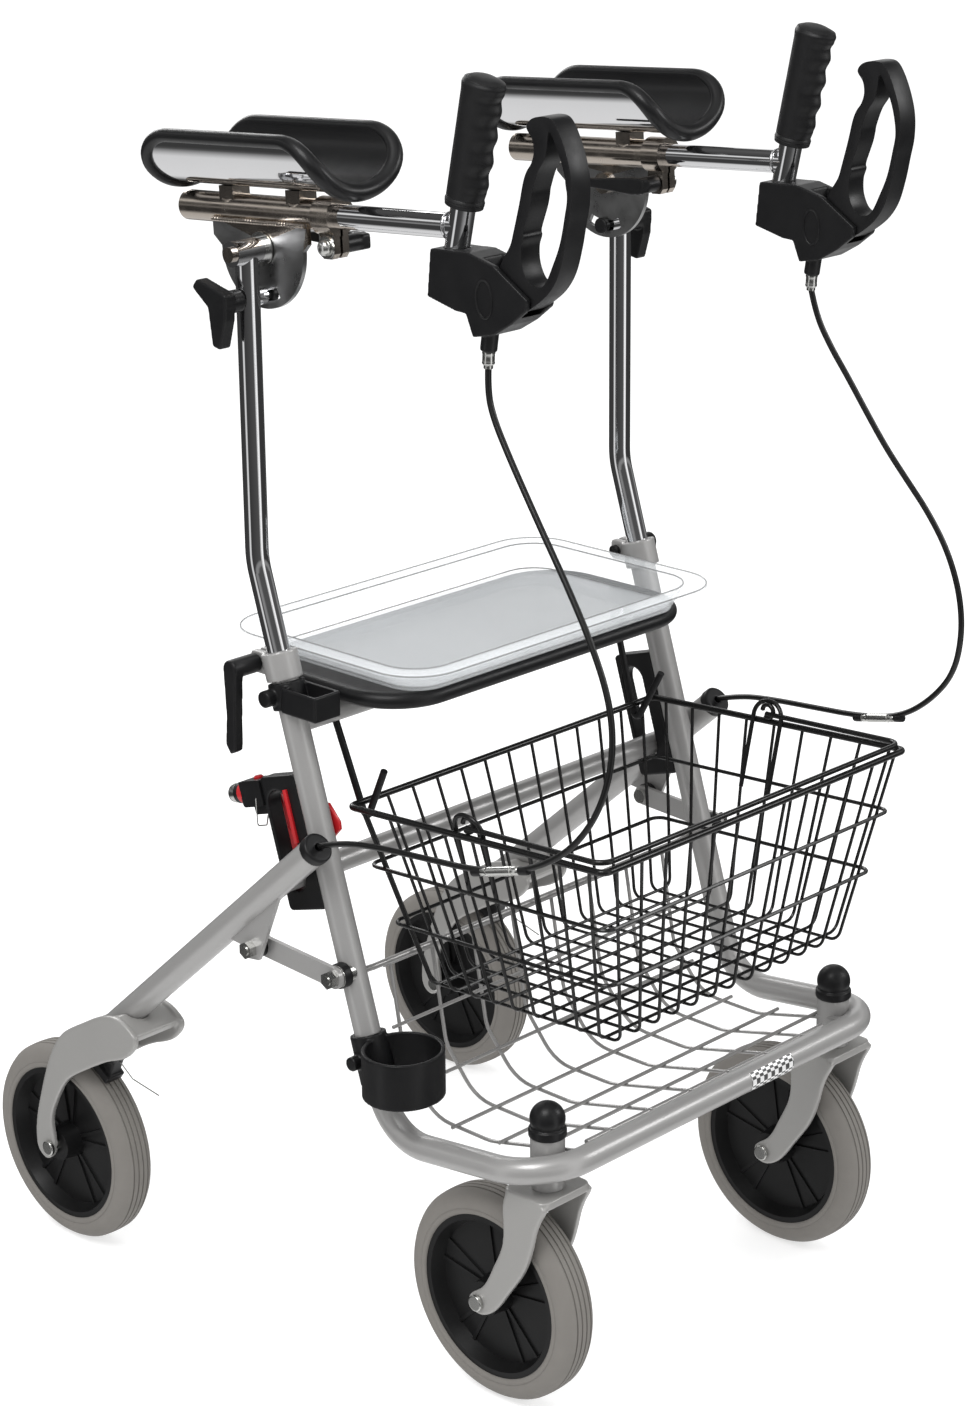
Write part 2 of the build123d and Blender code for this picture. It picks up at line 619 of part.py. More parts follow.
def rear_fork():
    """Fixed fork: a saddle welded round the leg's foot whose two skirts run down to the axle."""
    yw, zw = rear_wheel_y, wheel_r
    skirt = [(yw - 125, zw + 147), (yw - 98, zw + 157), (yw - 52, zw + 137), (yw - 26, zw + 120), (yw - 4, zw + 87),
             (yw + 11, zw + 47), (yw + 20, zw + 9), (yw + 16, zw - 9), (yw + 6, zw - 13), (yw - 4, zw - 3),
             (yw - 3, zw + 25), (yw - 12, zw + 50), (yw - 30, zw + 76), (yw - 53, zw + 92), (yw - 90, zw + 113),
             (yw - 122, zw + 132)]
    arms = fork_arms(rear_wheel_x, yw, skirt)
    top = [(yw - 124, zw + 145), (yw - 98, zw + 156.5), (yw - 52, zw + 136.5), (yw - 30, zw + 121),
           (yw - 37, zw + 113), (yw - 57, zw + 127), (yw - 97, zw + 146), (yw - 118, zw + 137)]
    body = side_plate(top, rear_wheel_x - arm_out, rear_wheel_x + arm_out, 2.0) + arms
    leg_top, leg_foot = rear_leg_line()
    body -= bar(leg_top, leg_foot, rear_leg_d / 2)
    body -= x_bar(rear_wheel_x - arm_in, rear_wheel_x + arm_in, yw, zw, wheel_r + 2.5)
    return body + x_bar(rear_wheel_x - arm_in - 2, rear_wheel_x + arm_in + 2, shoe_pin_y, shoe_pin_z, 3.0)


def axle_with_heads(x, y):
    shaft = x_bar(x - arm_out - 1, x + arm_out + 1, y, wheel_r, axle_r)
    heads = []
    for side in (1, -1):
        inner = x + side * arm_out
        head = x_bar(inner, inner + side * axle_head_t, y, wheel_r, axle_head_r)
        heads.append(fillet(head.edges(), 1.2))
    return shaft + heads[0] + heads[1]


# brake shoe: pinned between the fork's skirts, above the front of the rear tyre
shoe_pin_y, shoe_pin_z = rear_wheel_y - 66.0, wheel_r + 103.0


def brake_shoe():
    """Shoe with a curved face that lies just off the tyre, on an arm round its pin."""
    yw, zw = rear_wheel_y, wheel_r
    x0, x1 = rear_wheel_x - 9.4, rear_wheel_x + 9.4
    face_r = wheel_r + shoe_gap
    shoe = x_bar(x0, x1, yw, zw, face_r + 9) - x_bar(x0 - 5, x1 + 5, yw, zw, face_r)
    shoe &= side_plate([(yw - 22, zw + 84), (yw - 25, zw + 106), (yw - 70, zw + 88), (yw - 52, zw + 66)], x0, x1)
    shoe += side_plate([(shoe_pin_y - 5, shoe_pin_z), (shoe_pin_y + 5, shoe_pin_z), (yw - 48, zw + 90),
                        (yw - 61, zw + 80)], rear_wheel_x - 6, rear_wheel_x + 6)
    shoe += x_bar(x0, x1, shoe_pin_y, shoe_pin_z, 6.5)
    return shoe - x_bar(x0 - 5, x1 + 5, shoe_pin_y, shoe_pin_z, 3.0 + running_gap)


# ---------------------------------------------------------------- posts and armrests
post_y = leg_y(post_kink_z)


def post():
    """Bent telescopic post with the tilt pivot's tube across its head."""
    bottom = (leg_spacing_half, leg_y(post_bottom_z), post_bottom_z)
    points = [bottom, (leg_spacing_half, post_y, post_kink_z), (leg_spacing_half, post_y, tilt_pivot_z)]
    path = path_of(points, [post_bend_r])
    tube = round_sweep(path, post_d / 2)
    tee_x0, tee_x1 = arm_x + plate_in_x + plate_t + 0.4, arm_x + plate_in_x + plate_t + 0.4 + tee_len
    tee = x_bar(tee_x0, tee_x1, post_y, tilt_pivot_z, tee_d / 2)
    tube = tube - round_sweep(path, post_d / 2 - post_wall) + tee
    knob_z = tilt_pivot_z - slot_r
    boss = x_bar(tee_x0, leg_spacing_half, post_y, knob_z, 7.0)
    tube = tube + (boss - bar((leg_spacing_half, post_y, knob_z - 20), (leg_spacing_half, post_y, knob_z + 20), post_d / 2))
    tube -= x_bar(tee_x0 - 5, tee_x1 + 5, post_y, tilt_pivot_z, tee_bore_r)
    tube -= x_bar(tee_x0 - 5, leg_spacing_half + 20, post_y, knob_z, knob_bolt_r + running_gap)
    return tube


def place_arm(solid):
    """From the armrest's own frame to the walker: tilt front up, then put on the pivot."""
    return Pos(arm_x, post_y, tilt_pivot_z) * (Rot(-arm_tilt, 0, 0) * solid)


def fu(points):
    """(forward, up) pairs of the armrest's own frame as (y, z)."""
    return [(-f, u) for f, u in points]


def armrest_bracket():
    """Sleeve tube with its clamp, the slotted tilt plate, the pivot pin and two gutter studs."""
    sleeve = bar((0, tube_sleeve_back, rod_up), (0, -tube_sleeve_front, rod_up), tube_sleeve_r)
    collar = bar((0, -tube_sleeve_front + 16, rod_up), (0, -tube_sleeve_front - 3, rod_up), tube_sleeve_r + 3)
    ears = side_plate(fu([(63, rod_up - 6), (79, rod_up - 6), (79, 0), (76, -4), (67, -4), (63, 0)]), -8, 8)
    x0, x1 = plate_in_x, plate_in_x + plate_t
    upper = side_plate(fu([(-56, 8), (-56, rod_up - 6), (53, rod_up - 6), (53, 6), (plate_r, 0), (-plate_r, 0)]),
                       x0, x1)
    disc = x_bar(x0, x1, 0, 0, plate_r)
    disc -= block(x0 - 1, x1 + 1, -60, 60, 4, 60)
    body = sleeve + collar + ears + upper + disc
    for f in (-40, 37):
        body += block(-9, 9, -f - 8, -f + 8, rod_up, gutter_base)
    body += x_bar(x1 - 1, x1 + 0.4 + tee_len + 3, 0, 0, tee_bore_r - running_gap)
    body += x_bar(x0 - 4, x0, 0, 0, 9.0)
    body -= bar((0, 150, rod_up), (0, -150, rod_up), rod_d / 2 + running_gap)
    body -= block(-1.25, 1.25, -85, -60, -20, rod_up)
    body -= x_bar(-20, 20, -71, 5, 3.0 + running_gap)
    slot_half = knob_bolt_r + 0.4
    ring = x_bar(x0 - 5, x1 + 5, 0, 0, slot_r + slot_half) - x_bar(x0 - 6, x1 + 6, 0, 0, slot_r - slot_half)
    a_down = radians(-90 + arm_tilt - tilt_down - 8)
    a_up = radians(-90 + arm_tilt + tilt_up + 8)
    reach = 90.0
    wedge = side_plate([(0, 0), (reach * cos(a_down), reach * sin(a_down)), (0, -reach),
                        (reach * cos(a_up), reach * sin(a_up))], x0 - 5, x1 + 5)
    return body - (ring & wedge)


def rod_lever():
    """Clamp lever under the sleeve's front end, inboard, with its bolt."""
    bolt = x_bar(-10, 12, -71, 5, 3.0)
    head = x_bar(8.3, 13, -71, 5, 6.0)
    head = fillet(head.edges().sort_by(Axis.X)[-1:], 2.5)
    hub = x_bar(-32, -8.3, -71, 5, 7.0)
    handle = side_plate([(-78, -1), (-64, -2), (-30, 1), (-8, 3), (-6, 9), (-30, 10), (-64, 12), (-78, 11)],
                        -32, -24, 2.0)
    return bolt + head + hub + handle


def tilt_knob():
    """Wing knob outboard of the post with its stud through the post and the plate's slot."""
    z = tilt_pivot_z - slot_r
    x_out = leg_spacing_half + post_d / 2 + 0.4
    stud = x_bar(arm_x + plate_in_x - 2, x_out + 6, post_y, z, knob_bolt_r)
    nut = x_bar(arm_x + plate_in_x - 6.5, arm_x + plate_in_x - 0.4, post_y, z, 7.0)
    hub = x_bar(x_out, x_out + 22, post_y, z, 9.0)
    wing = side_plate([(post_y - 9, z + 8), (post_y + 24, z + 17), (post_y + 30, z + 10), (post_y + 12, z - 4),
                       (post_y + 8, z - 34), (post_y - 1, z - 36), (post_y - 8, z - 12)],
                      x_out + 11, x_out + 22, 2.5)
    return stud + nut + hub + wing


def trough(half_w, depth, base, wall, back, front, corner):
    """Half-ellipse channel along Y, open at the top, its four top corners rounded off."""
    rim_u = base + depth
    outer = Ellipse(half_w, depth)
    inner = Ellipse(half_w - wall, depth - wall)
    face = outer - inner - Pos(0, depth) * Rectangle(3 * half_w, 2 * depth)
    channel = Plane(origin=(0, back, rim_u), x_dir=(1, 0, 0), z_dir=(0, -1, 0)) * extrude(face, amount=back + front)
    side = side_plate([(back, base - 5), (back, rim_u), (-front, rim_u), (-front, base - 5)],
                      -half_w - 5, half_w + 5)
    top_edges = side.edges().filter_by(Axis.X).sort_by(Axis.Z)[-2:]
    return channel & fillet(top_edges, corner)


def gutter_shell():
    """Plated trough with two studs' landing flats under it."""
    return trough(gutter_half_w, gutter_depth, gutter_base, gutter_t, gutter_back, gutter_front, 34.0)


def gutter_pad():
    """Soft liner that stands a little proud of the shell."""
    return trough(gutter_half_w - gutter_t, gutter_depth - gutter_t + 4, gutter_base + gutter_t, pad_t,
                  gutter_back + 3, gutter_front + 3, 36.0)


def upright_f(u):
    return upright_at + (u - rod_up) * tan(radians(upright_lean))


def upright_point(u):
    return (0, -upright_f(u), u)


def handle_tube():
    """Rod that slides in the sleeve, welded to the leaning upright that carries the grip."""
    rod_a, rod_b = (0, rod_inner_end, rod_up), (0, -upright_at, rod_up)
    upright = bar(upright_point(upright_bottom), upright_point(upright_top), rod_d / 2)
    rod = bar(rod_a, rod_b, rod_d / 2) - bar(rod_a, rod_b, rod_d / 2 - rod_wall) - upright
    hollow = bar(upright_point(upright_bottom - 5), upright_point(upright_top + 5), rod_d / 2 - rod_wall)
    return rod + (upright - hollow)


grip_bottom, grip_top = 44.0, 133.0


def grip():
    """Hand grip with four finger grooves at the front and a rounded top."""
    lean = radians(upright_lean)
    length = (grip_top - grip_bottom) / cos(lean)
    half_d = 16.0
    front = [(17.0, 0), (16.0, 7), (18.5, 12), (16.0, 21), (19.0, 31), (16.5, 40), (19.5, 50), (16.5, 59),
             (19.5, 69), (17.0, 78), (20.0, length - 3)]
    outline = [(-14.5, 0)] + [(f, s) for f, s in front] + [(14.0, length + 2), (-12.5, length), (-15.0, length - 4)]
    origin = upright_point(grip_bottom)
    place = Plane(origin=origin, x_dir=(1, 0, 0), z_dir=(0, -sin(lean), cos(lean)))
    profile = side_plate([(-f, s) for f, s in outline], -half_d, half_d)
    section = Pos(0, -2.2, 0) * extrude(Ellipse(15.5, 17.8), amount=length + 3)
    body = profile & section
    bore = Pos(0, 0, -1) * Cylinder(rod_d / 2, (upright_top - grip_bottom) / cos(lean) + 1,
                                    align=(Align.CENTER, Align.CENTER, Align.MIN))
    return place * (body - bore)


housing_outline = [(190, 13), (229, 12), (254, 4), (286, -19), (284, -27), (268, -38), (250, -47), (229, -50),
                   (223, -33), (213, -32), (184, -23)]


def brake_housing():
    """Clamped block on the upright's foot with a slot for the lever and a cable nipple."""
    body = side_plate(fu(housing_outline), -housing_half_w, housing_half_w, 1.5)
    body += bar((0, -234, -44), (0, -230, -62), 6.5)
    body += bar((0, -230.5, -60), (0, -229, -73), 4.5)
    body -= bar(upright_point(upright_bottom), upright_point(upright_bottom + 60), rod_d / 2)
    slot = side_plate(fu([(238, 25), (300, 25), (300, -28), (268, -34), (244, -22)]),
                      -lever_half_w - 0.5, lever_half_w + 0.5)
    pin = x_bar(-housing_half_w, housing_half_w, -lever_pivot_f, lever_pivot_u, lever_pin_r)
    return body - slot + pin


lever_outer = [(250, -8), (259, 8), (267, 19), (271, 29), (278, 49), (283, 65), (287, 73), (292, 79), (295, 87),
               (294, 96), (289, 104), (294, 110), (304, 112), (314, 110), (321, 100), (327, 84), (330, 68),
               (329, 51), (325, 36), (320, 18), (313, 0), (303, -13), (289, -23), (276, -29), (262, -30), (251, -22)]
lever_inner = [(311, 102), (318, 89), (323, 74), (325, 57), (322, 43), (316, 23), (308, 7), (300, -6), (292, -10),
               (283, -6), (278, 5), (278, 17), (282, 28), (288, 46), (292, 60), (298, 73), (305, 82), (308, 91)]


def brake_lever():
    """Closed-loop hand lever: a stout bar towards the grip, a thin bow outside it."""
    loop = smooth_plate(fu(lever_outer), -lever_half_w, lever_half_w)
    loop -= smooth_plate(fu(lever_inner), -lever_half_w - 1, lever_half_w + 1)
    loop -= x_bar(-20, 20, -lever_pivot_f, lever_pivot_u, lever_pin_r + running_gap)
    return loop


# ---------------------------------------------------------------- basket
def basket_section(half_w, front_y, front_z, back_y, back_z, corner):
    """Rounded rectangle lying on the slope from front to back."""
    length = hypot(back_y - front_y, back_z - front_z)
    slope = Vector(0, back_y - front_y, back_z - front_z).normalized()
    face = Rectangle(2 * half_w, length)
    face = fillet(face.vertices(), corner)
    place = Plane(origin=(0, (front_y + back_y) / 2, (front_z + back_z) / 2),
                  x_dir=(1, 0, 0), z_dir=Vector(1, 0, 0).cross(slope))
    return (place * face).face()


def basket():
    """Open basket: tapered walls and floor with a round rim."""
    def body(t, lift):
        rim_face = basket_section(basket_rim_half_w - t, basket_rim_front_y + t, basket_rim_front_z + 0.01 * t,
                                  basket_rim_back_y - t, basket_rim_back_z + 0.01 * t, 8.0)
        floor_face = basket_section(basket_floor_half_w - t, basket_floor_front_y + t, basket_floor_front_z + lift,
                                    basket_floor_back_y - t, basket_floor_back_z + lift, 8.0)
        return loft([floor_face, rim_face])

    shell = body(0, 0) - body(basket_wall, basket_wall)
    mouth = basket_section(basket_rim_half_w - basket_wall, basket_rim_front_y + basket_wall, basket_rim_front_z,
                           basket_rim_back_y - basket_wall, basket_rim_back_z, 8.0)
    shell -= Pos(0, 0, -0.4) * extrude(mouth, amount=5, dir=(0, 0, 1))
    slot_low = hook_low[2] - basket_lift - 6
    for x in (hook_low[0] + 2, -hook_low[0] - 2):
        shell -= block(x - 7, x + 7, basket_floor_back_y - 10, basket_rim_back_y + 10,
                       slot_low, basket_rim_back_z - rim_wire_r)
    rim_line = basket_section(basket_rim_half_w, basket_rim_front_y, basket_rim_front_z,
                              basket_rim_back_y, basket_rim_back_z, 8.0).outer_wire()
    rim = sweep(Plane(origin=rim_line @ 0, z_dir=rim_line % 0) * Circle(rim_wire_r), path=rim_line)
    return shell + rim


def rim_z(y):
    """Height of the basket's rim at depth y."""
    slope = (basket_rim_back_z - basket_rim_front_z) / (basket_rim_back_y - basket_rim_front_y)
    return basket_rim_front_z + (y - basket_rim_front_y) * slope


bail_pivot_z = rim_z(bail_pivot_y) + rim_wire_r + bail_wire_r + 1.2
bail_front_y = basket_rim_front_y + 3.0
bail_half_w = basket_rim_half_w - 1.5


def basket_bail():
    """Folding wire handle that lies on the front half of the rim."""
    lift = rim_wire_r + bail_wire_r + 0.6
    front_z = rim_z(bail_front_y) + lift
    w = bail_half_w
    points = [(w, bail_pivot_y, bail_pivot_z), (w, bail_front_y, front_z), (-w, bail_front_y, front_z),
              (-w, bail_pivot_y, bail_pivot_z)]
    handle = round_sweep(path_of(points, [8.0, 8.0]), bail_wire_r)
    for side in (w, -w):
        handle += x_bar(side - 5, side + 5, bail_pivot_y, bail_pivot_z, bail_wire_r + 0.8)
    return handle


# ---------------------------------------------------------------- brake cable
cable_route = [
    (190.0, -227.2, 867.0), (192.0, -224.0, 837.0), (195.0, -232.0, 792.0), (199.0, -258.0, 749.0),
    (203.0, -302.0, 710.0), (208.0, -346.0, 672.0), (211.0, -374.0, 632.0), (213.0, -380.0, 592.0),
    (218.0, -367.0, 554.0), (225.0, -340.0, 522.0), (231.0, -304.0, 499.0), (236.0, -258.0, 488.0),
    (240.0, -205.0, 484.0), (243.5, -155.0, 481.0), (245.5, -118.0, 473.0),
]


def route_radii(points):
    radii = []
    for a, b, c in zip(points, points[1:], points[2:]):
        run_in, run_out = Vector(b) - Vector(a), Vector(c) - Vector(b)
        half_turn = radians(run_in.get_angle(run_out)) / 2
        radii.append(0.45 * min(run_in.length, run_out.length) / tan(half_turn))
    return radii


def brake_cable():
    """Sheathed cable from the brake housing's nipple to the plug on the rear leg."""
    top, foot = Vector(*rear_leg_line()[0]), Vector(*rear_leg_line()[1])
    up = (top - foot).normalized()
    entry = top + up * (leg_cap_len + 0.3)
    start = place_arm(Pos(0, -229, -73.5) * Sphere(0.1)).center()
    points = [tuple(start)] + cable_route[1:] + [tuple(entry)]
    radii = route_radii(points)
    path = path_of(points, radii)
    return round_sweep(path, cable_r), path.length, min(radii)


# ---------------------------------------------------------------- build every node
def build():
    outer = front_frame_outer()
    nodes = {
        "front_frame": front_frame(outer),
        "caster_sleeves": caster_sleeves(outer),
        "caster_caps": caster_caps(),
        "post_clamps": both_sides(post_clamp()),
        "leg_pivot_bolts": both_sides(leg_pivot_bolt(outer)),
        "seat_crossbar": seat_crossbar(outer),
        "seat_plate": seat_plate(),
        "fold_guides": both_sides(fold_guide()),
        "fold_lock": fold_lock(),
        "fold_latch": fold_latch(),
        "luggage_rack": luggage_rack(outer),
        "basket_hangers": basket_hangers(),
        "rear_frame": rear_frame(),
        "rear_leg_caps": rear_leg_caps(),
        "rear_forks": both_sides(rear_fork()),
        "rear_axles": both_sides(axle_with_heads(rear_wheel_x, rear_wheel_y)),
        "bracket_pivot_bolts": both_sides(bracket_pivot_bolt()),
        "stay_links": both_sides(stay_link()),
        "basket": basket(),
        "basket_bail": basket_bail(),
        "tray": tray(),
        "cane_holder": cane_holder(),
    }
    cable, cable_length, cable_bend = brake_cable()
    print("cable length", round(cable_length, 1), "tightest arc", round(cable_bend, 1))
    pairs = {
        "front_tyre": tyre(caster_x, caster_y + caster_trail),
        "front_rim": rim(caster_x, caster_y + caster_trail),
        "rear_tyre": tyre(rear_wheel_x, rear_wheel_y),
        "rear_rim": rim(rear_wheel_x, rear_wheel_y),
        "caster_fork": caster_fork(),
        "caster_axle": axle_with_heads(caster_x, caster_y + caster_trail),
        "brake_shoe": brake_shoe(),
        "post": post(),
        "clamp_lever": clamp_lever(),
        "tilt_knob": tilt_knob(),
        "armrest_bracket": place_arm(armrest_bracket()),
        "rod_lever": place_arm(rod_lever()),
        "gutter_shell": place_arm(gutter_shell()),
        "gutter_pad": place_arm(gutter_pad()),
        "handle_tube": place_arm(handle_tube()),
        "grip": place_arm(grip()),
        "brake_housing": place_arm(brake_housing()),
        "brake_lever": place_arm(brake_lever()),
        "brake_cable": cable,
    }
    for name, solid in pairs.items():
        nodes[name + "_left"] = solid
        nodes[name + "_right"] = mirrored(solid)
    return nodes


if __name__ == "__main__":
    os.makedirs("parts", exist_ok=True)
    nodes = build()
    for name, solid in nodes.items():
        export_step(solid, f"parts/{name}.step")
    print(len(nodes), "nodes")
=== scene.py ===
# %% [markdown]
# # Forearm-support rollator
# Looks for a four-wheeled walking frame with padded forearm troughs.
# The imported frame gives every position; everything here is in metres, +Z up, the front faces -Y
# and the user's left is +X. Pieces that come in pairs are made for the left and mirrored.

# %% Frame
from math import atan2, cos, pi, radians, sin, sqrt, tan

import bmesh
import bpy
from mathutils import Matrix, Vector


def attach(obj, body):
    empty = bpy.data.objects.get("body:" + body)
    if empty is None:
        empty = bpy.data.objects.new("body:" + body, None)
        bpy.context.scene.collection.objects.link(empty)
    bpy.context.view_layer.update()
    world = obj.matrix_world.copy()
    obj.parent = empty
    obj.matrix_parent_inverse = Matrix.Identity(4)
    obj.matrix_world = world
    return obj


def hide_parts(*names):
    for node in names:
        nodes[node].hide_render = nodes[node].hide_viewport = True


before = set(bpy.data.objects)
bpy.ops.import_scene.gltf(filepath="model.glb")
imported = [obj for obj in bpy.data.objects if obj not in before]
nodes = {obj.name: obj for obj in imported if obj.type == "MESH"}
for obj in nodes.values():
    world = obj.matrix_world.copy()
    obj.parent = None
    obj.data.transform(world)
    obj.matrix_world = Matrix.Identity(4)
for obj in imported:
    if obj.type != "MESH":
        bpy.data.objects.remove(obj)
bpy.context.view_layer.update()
scene = bpy.context.scene

# %% [markdown]
# ## Camera
# A long lens, a little above the handles, looking down on the right-hand front corner.

# %% Camera
def aim(azimuth, pitch, roll):
    """Rotation of a camera from its compass angle, downward pitch and roll."""
    back = Vector((sin(azimuth) * cos(pitch), -cos(azimuth) * cos(pitch), sin(pitch)))
    right = Vector((0, 0, 1)).cross(back).normalized()
    up = back.cross(right)
    x = cos(roll) * right + sin(roll) * up
    y = -sin(roll) * right + cos(roll) * up
    return Matrix((x, y, back)).transposed().to_4x4()


camera_data = bpy.data.cameras.new("camera")
camera_data.lens = 81.454
camera_data.sensor_width = 36.0
camera_data.clip_end = 50.0
camera = bpy.data.objects.new("camera", camera_data)
camera.matrix_world = Matrix.Translation((-1.8405, -1.8304, 1.3892)) @ aim(-0.79924, 0.32994, -0.01058)
scene.collection.objects.link(camera)
scene.camera = camera
print("camera lens", camera_data.lens)

# %% [markdown]
# ## Materials
# Paint, plastic and plated steel never have one even colour or one even gloss. The three effects
# that all of them share are node groups with named inputs: mottling of a colour, handling smudges
# that change the roughness, and a fine grain for the bump. A group is built once and placed in each
# material with values of its own, which keeps all the finishes alike in kind and easy to compare.
# They read Object coordinates, so a grain keeps its real size in metres on every piece.

# %% Group helpers
def new_group(name, inputs, outputs):
    tree = bpy.data.node_groups.new(name, "ShaderNodeTree")
    for label, kind, value in inputs:
        socket = tree.interface.new_socket(label, in_out="INPUT", socket_type=kind)
        socket.default_value = value
    for label, kind in outputs:
        tree.interface.new_socket(label, in_out="OUTPUT", socket_type=kind)
    return tree, tree.nodes.new("NodeGroupInput"), tree.nodes.new("NodeGroupOutput")


def link(tree, a, b):
    tree.links.new(a, b)


# %% Mottle group
def mottle_group():
    """Colour varied by soft noise between two shades of itself."""
    tree, inp, out = new_group(
        "mottle",
        [("Color", "NodeSocketColor", (0.5, 0.5, 0.5, 1)), ("Scale", "NodeSocketFloat", 40.0),
         ("Amount", "NodeSocketFloat", 0.1)],
        [("Color", "NodeSocketColor")])
    place = tree.nodes.new("ShaderNodeTexCoord")
    noise = tree.nodes.new("ShaderNodeTexNoise")
    noise.inputs["Detail"].default_value = 5.0
    noise.inputs["Roughness"].default_value = 0.6
    centre = tree.nodes.new("ShaderNodeMath")
    centre.operation = "SUBTRACT"
    centre.inputs[1].default_value = 0.5
    scaled = tree.nodes.new("ShaderNodeMath")
    scaled.operation = "MULTIPLY_ADD"
    scaled.inputs[2].default_value = 1.0
    shade = tree.nodes.new("ShaderNodeVectorMath")
    shade.operation = "SCALE"
    link(tree, place.outputs["Object"], noise.inputs["Vector"])
    link(tree, inp.outputs["Scale"], noise.inputs["Scale"])
    link(tree, noise.outputs["Fac"], centre.inputs[0])
    link(tree, centre.outputs[0], scaled.inputs[0])
    link(tree, inp.outputs["Amount"], scaled.inputs[1])
    link(tree, inp.outputs["Color"], shade.inputs[0])
    link(tree, scaled.outputs[0], shade.inputs["Scale"])
    link(tree, shade.outputs[0], out.inputs["Color"])
    return tree


# %% Smudge group
def smudge_group():
    """Roughness that rises in soft handling marks and falls between them."""
    tree, inp, out = new_group(
        "smudge",
        [("Roughness", "NodeSocketFloat", 0.3), ("Amount", "NodeSocketFloat", 0.1),
         ("Scale", "NodeSocketFloat", 25.0)],
        [("Roughness", "NodeSocketFloat")])
    place = tree.nodes.new("ShaderNodeTexCoord")
    noise = tree.nodes.new("ShaderNodeTexNoise")
    noise.inputs["Detail"].default_value = 6.0
    noise.inputs["Roughness"].default_value = 0.65
    ramp = tree.nodes.new("ShaderNodeMapRange")
    ramp.inputs["From Min"].default_value = 0.35
    ramp.inputs["From Max"].default_value = 0.7
    add = tree.nodes.new("ShaderNodeMath")
    add.operation = "MULTIPLY_ADD"
    link(tree, place.outputs["Object"], noise.inputs["Vector"])
    link(tree, inp.outputs["Scale"], noise.inputs["Scale"])
    link(tree, noise.outputs["Fac"], ramp.inputs["Value"])
    link(tree, ramp.outputs["Result"], add.inputs[0])
    link(tree, inp.outputs["Amount"], add.inputs[1])
    link(tree, inp.outputs["Roughness"], add.inputs[2])
    link(tree, add.outputs[0], out.inputs["Roughness"])
    return tree


# %% Grain group
def grain_group():
    """Normal of a fine grain laid over a slow waviness."""
    tree, inp, out = new_group(
        "grain",
        [("Scale", "NodeSocketFloat", 900.0), ("Strength", "NodeSocketFloat", 0.1),
         ("Depth", "NodeSocketFloat", 0.0002)],
        [("Normal", "NodeSocketVector")])
    place = tree.nodes.new("ShaderNodeTexCoord")
    fine = tree.nodes.new("ShaderNodeTexNoise")
    fine.inputs["Detail"].default_value = 3.0
    slow = tree.nodes.new("ShaderNodeTexNoise")
    slow.inputs["Scale"].default_value = 60.0
    slow.inputs["Detail"].default_value = 1.0
    mix = tree.nodes.new("ShaderNodeMath")
    mix.operation = "MULTIPLY_ADD"
    mix.inputs[1].default_value = 0.35
    bump = tree.nodes.new("ShaderNodeBump")
    link(tree, place.outputs["Object"], fine.inputs["Vector"])
    link(tree, place.outputs["Object"], slow.inputs["Vector"])
    link(tree, inp.outputs["Scale"], fine.inputs["Scale"])
    link(tree, fine.outputs["Fac"], mix.inputs[0])
    link(tree, slow.outputs["Fac"], mix.inputs[2])
    link(tree, mix.outputs[0], bump.inputs["Height"])
    link(tree, inp.outputs["Strength"], bump.inputs["Strength"])
    link(tree, inp.outputs["Depth"], bump.inputs["Distance"])
    link(tree, bump.outputs["Normal"], out.inputs["Normal"])
    return tree


mottle, smudge, grain = mottle_group(), smudge_group(), grain_group()
print("groups", [group.name for group in bpy.data.node_groups])

# %% [markdown]
# One function makes every opaque finish. The shader is the Principled BSDF; what is even over the
# whole surface, such as metallic or coat, is set on its own socket, and what varies comes from a group.

# %% Finishes

def material(name, color, rough, metal=0.0, mottle_scale=40.0, mottle_by=0.1, smudge_by=0.08,
             smudge_scale=25.0,
             grain_scale=900.0, grain_by=0.08, grain_depth=0.0002, coat=0.0, specular=0.5):
    """A surface of one substance, with its own mottling, smudges and grain."""
    made = bpy.data.materials.new(name)
    made.use_nodes = True
    tree = made.node_tree
    surface = tree.nodes["Principled BSDF"]
    surface.inputs["Metallic"].default_value = metal
    surface.inputs["Coat Weight"].default_value = coat
    surface.inputs["Coat Roughness"].default_value = 0.12
    surface.inputs["Specular IOR Level"].default_value = specular
    for group, settings, target in (
            (mottle, {"Color": (*color, 1), "Scale": mottle_scale, "Amount": mottle_by}, "Base Color"),
            (smudge, {"Roughness": rough, "Amount": smudge_by, "Scale": smudge_scale}, "Roughness"),
            (grain, {"Scale": grain_scale, "Strength": grain_by, "Depth": grain_depth}, "Normal")):
        node = tree.nodes.new("ShaderNodeGroup")
        node.node_tree = group
        for label, value in settings.items():
            node.inputs[label].default_value = value
        link(tree, node.outputs[0], surface.inputs[target])
    return made


# %% Paint and metal
silver = material("silver_paint", (0.34, 0.335, 0.33), 0.34, 0.4, mottle_scale=2500, mottle_by=0.25,
                  smudge_by=0.06,
                  grain_scale=3000, grain_by=0.1, coat=0.35)
cast = material("cast_silver", (0.33, 0.325, 0.315), 0.38, 0.35, mottle_scale=1800, mottle_by=0.2,
                grain_scale=1200,
                grain_by=0.22, coat=0.25)
zinc = material("bright_zinc", (0.62, 0.62, 0.60), 0.18, 1.0, mottle_by=0.12, grain_scale=1500,
                grain_by=0.1)
chrome = material("chrome", (0.70, 0.70, 0.71), 0.035, 1.0, mottle_scale=15, mottle_by=0.05, smudge_by=0.06,
                  smudge_scale=18, grain_scale=80, grain_by=0.03)
nickel = material("satin_nickel", (0.46, 0.41, 0.36), 0.14, 1.0, mottle_scale=30, mottle_by=0.25,
                  smudge_by=0.14,
                  smudge_scale=60, grain_scale=500, grain_by=0.12)
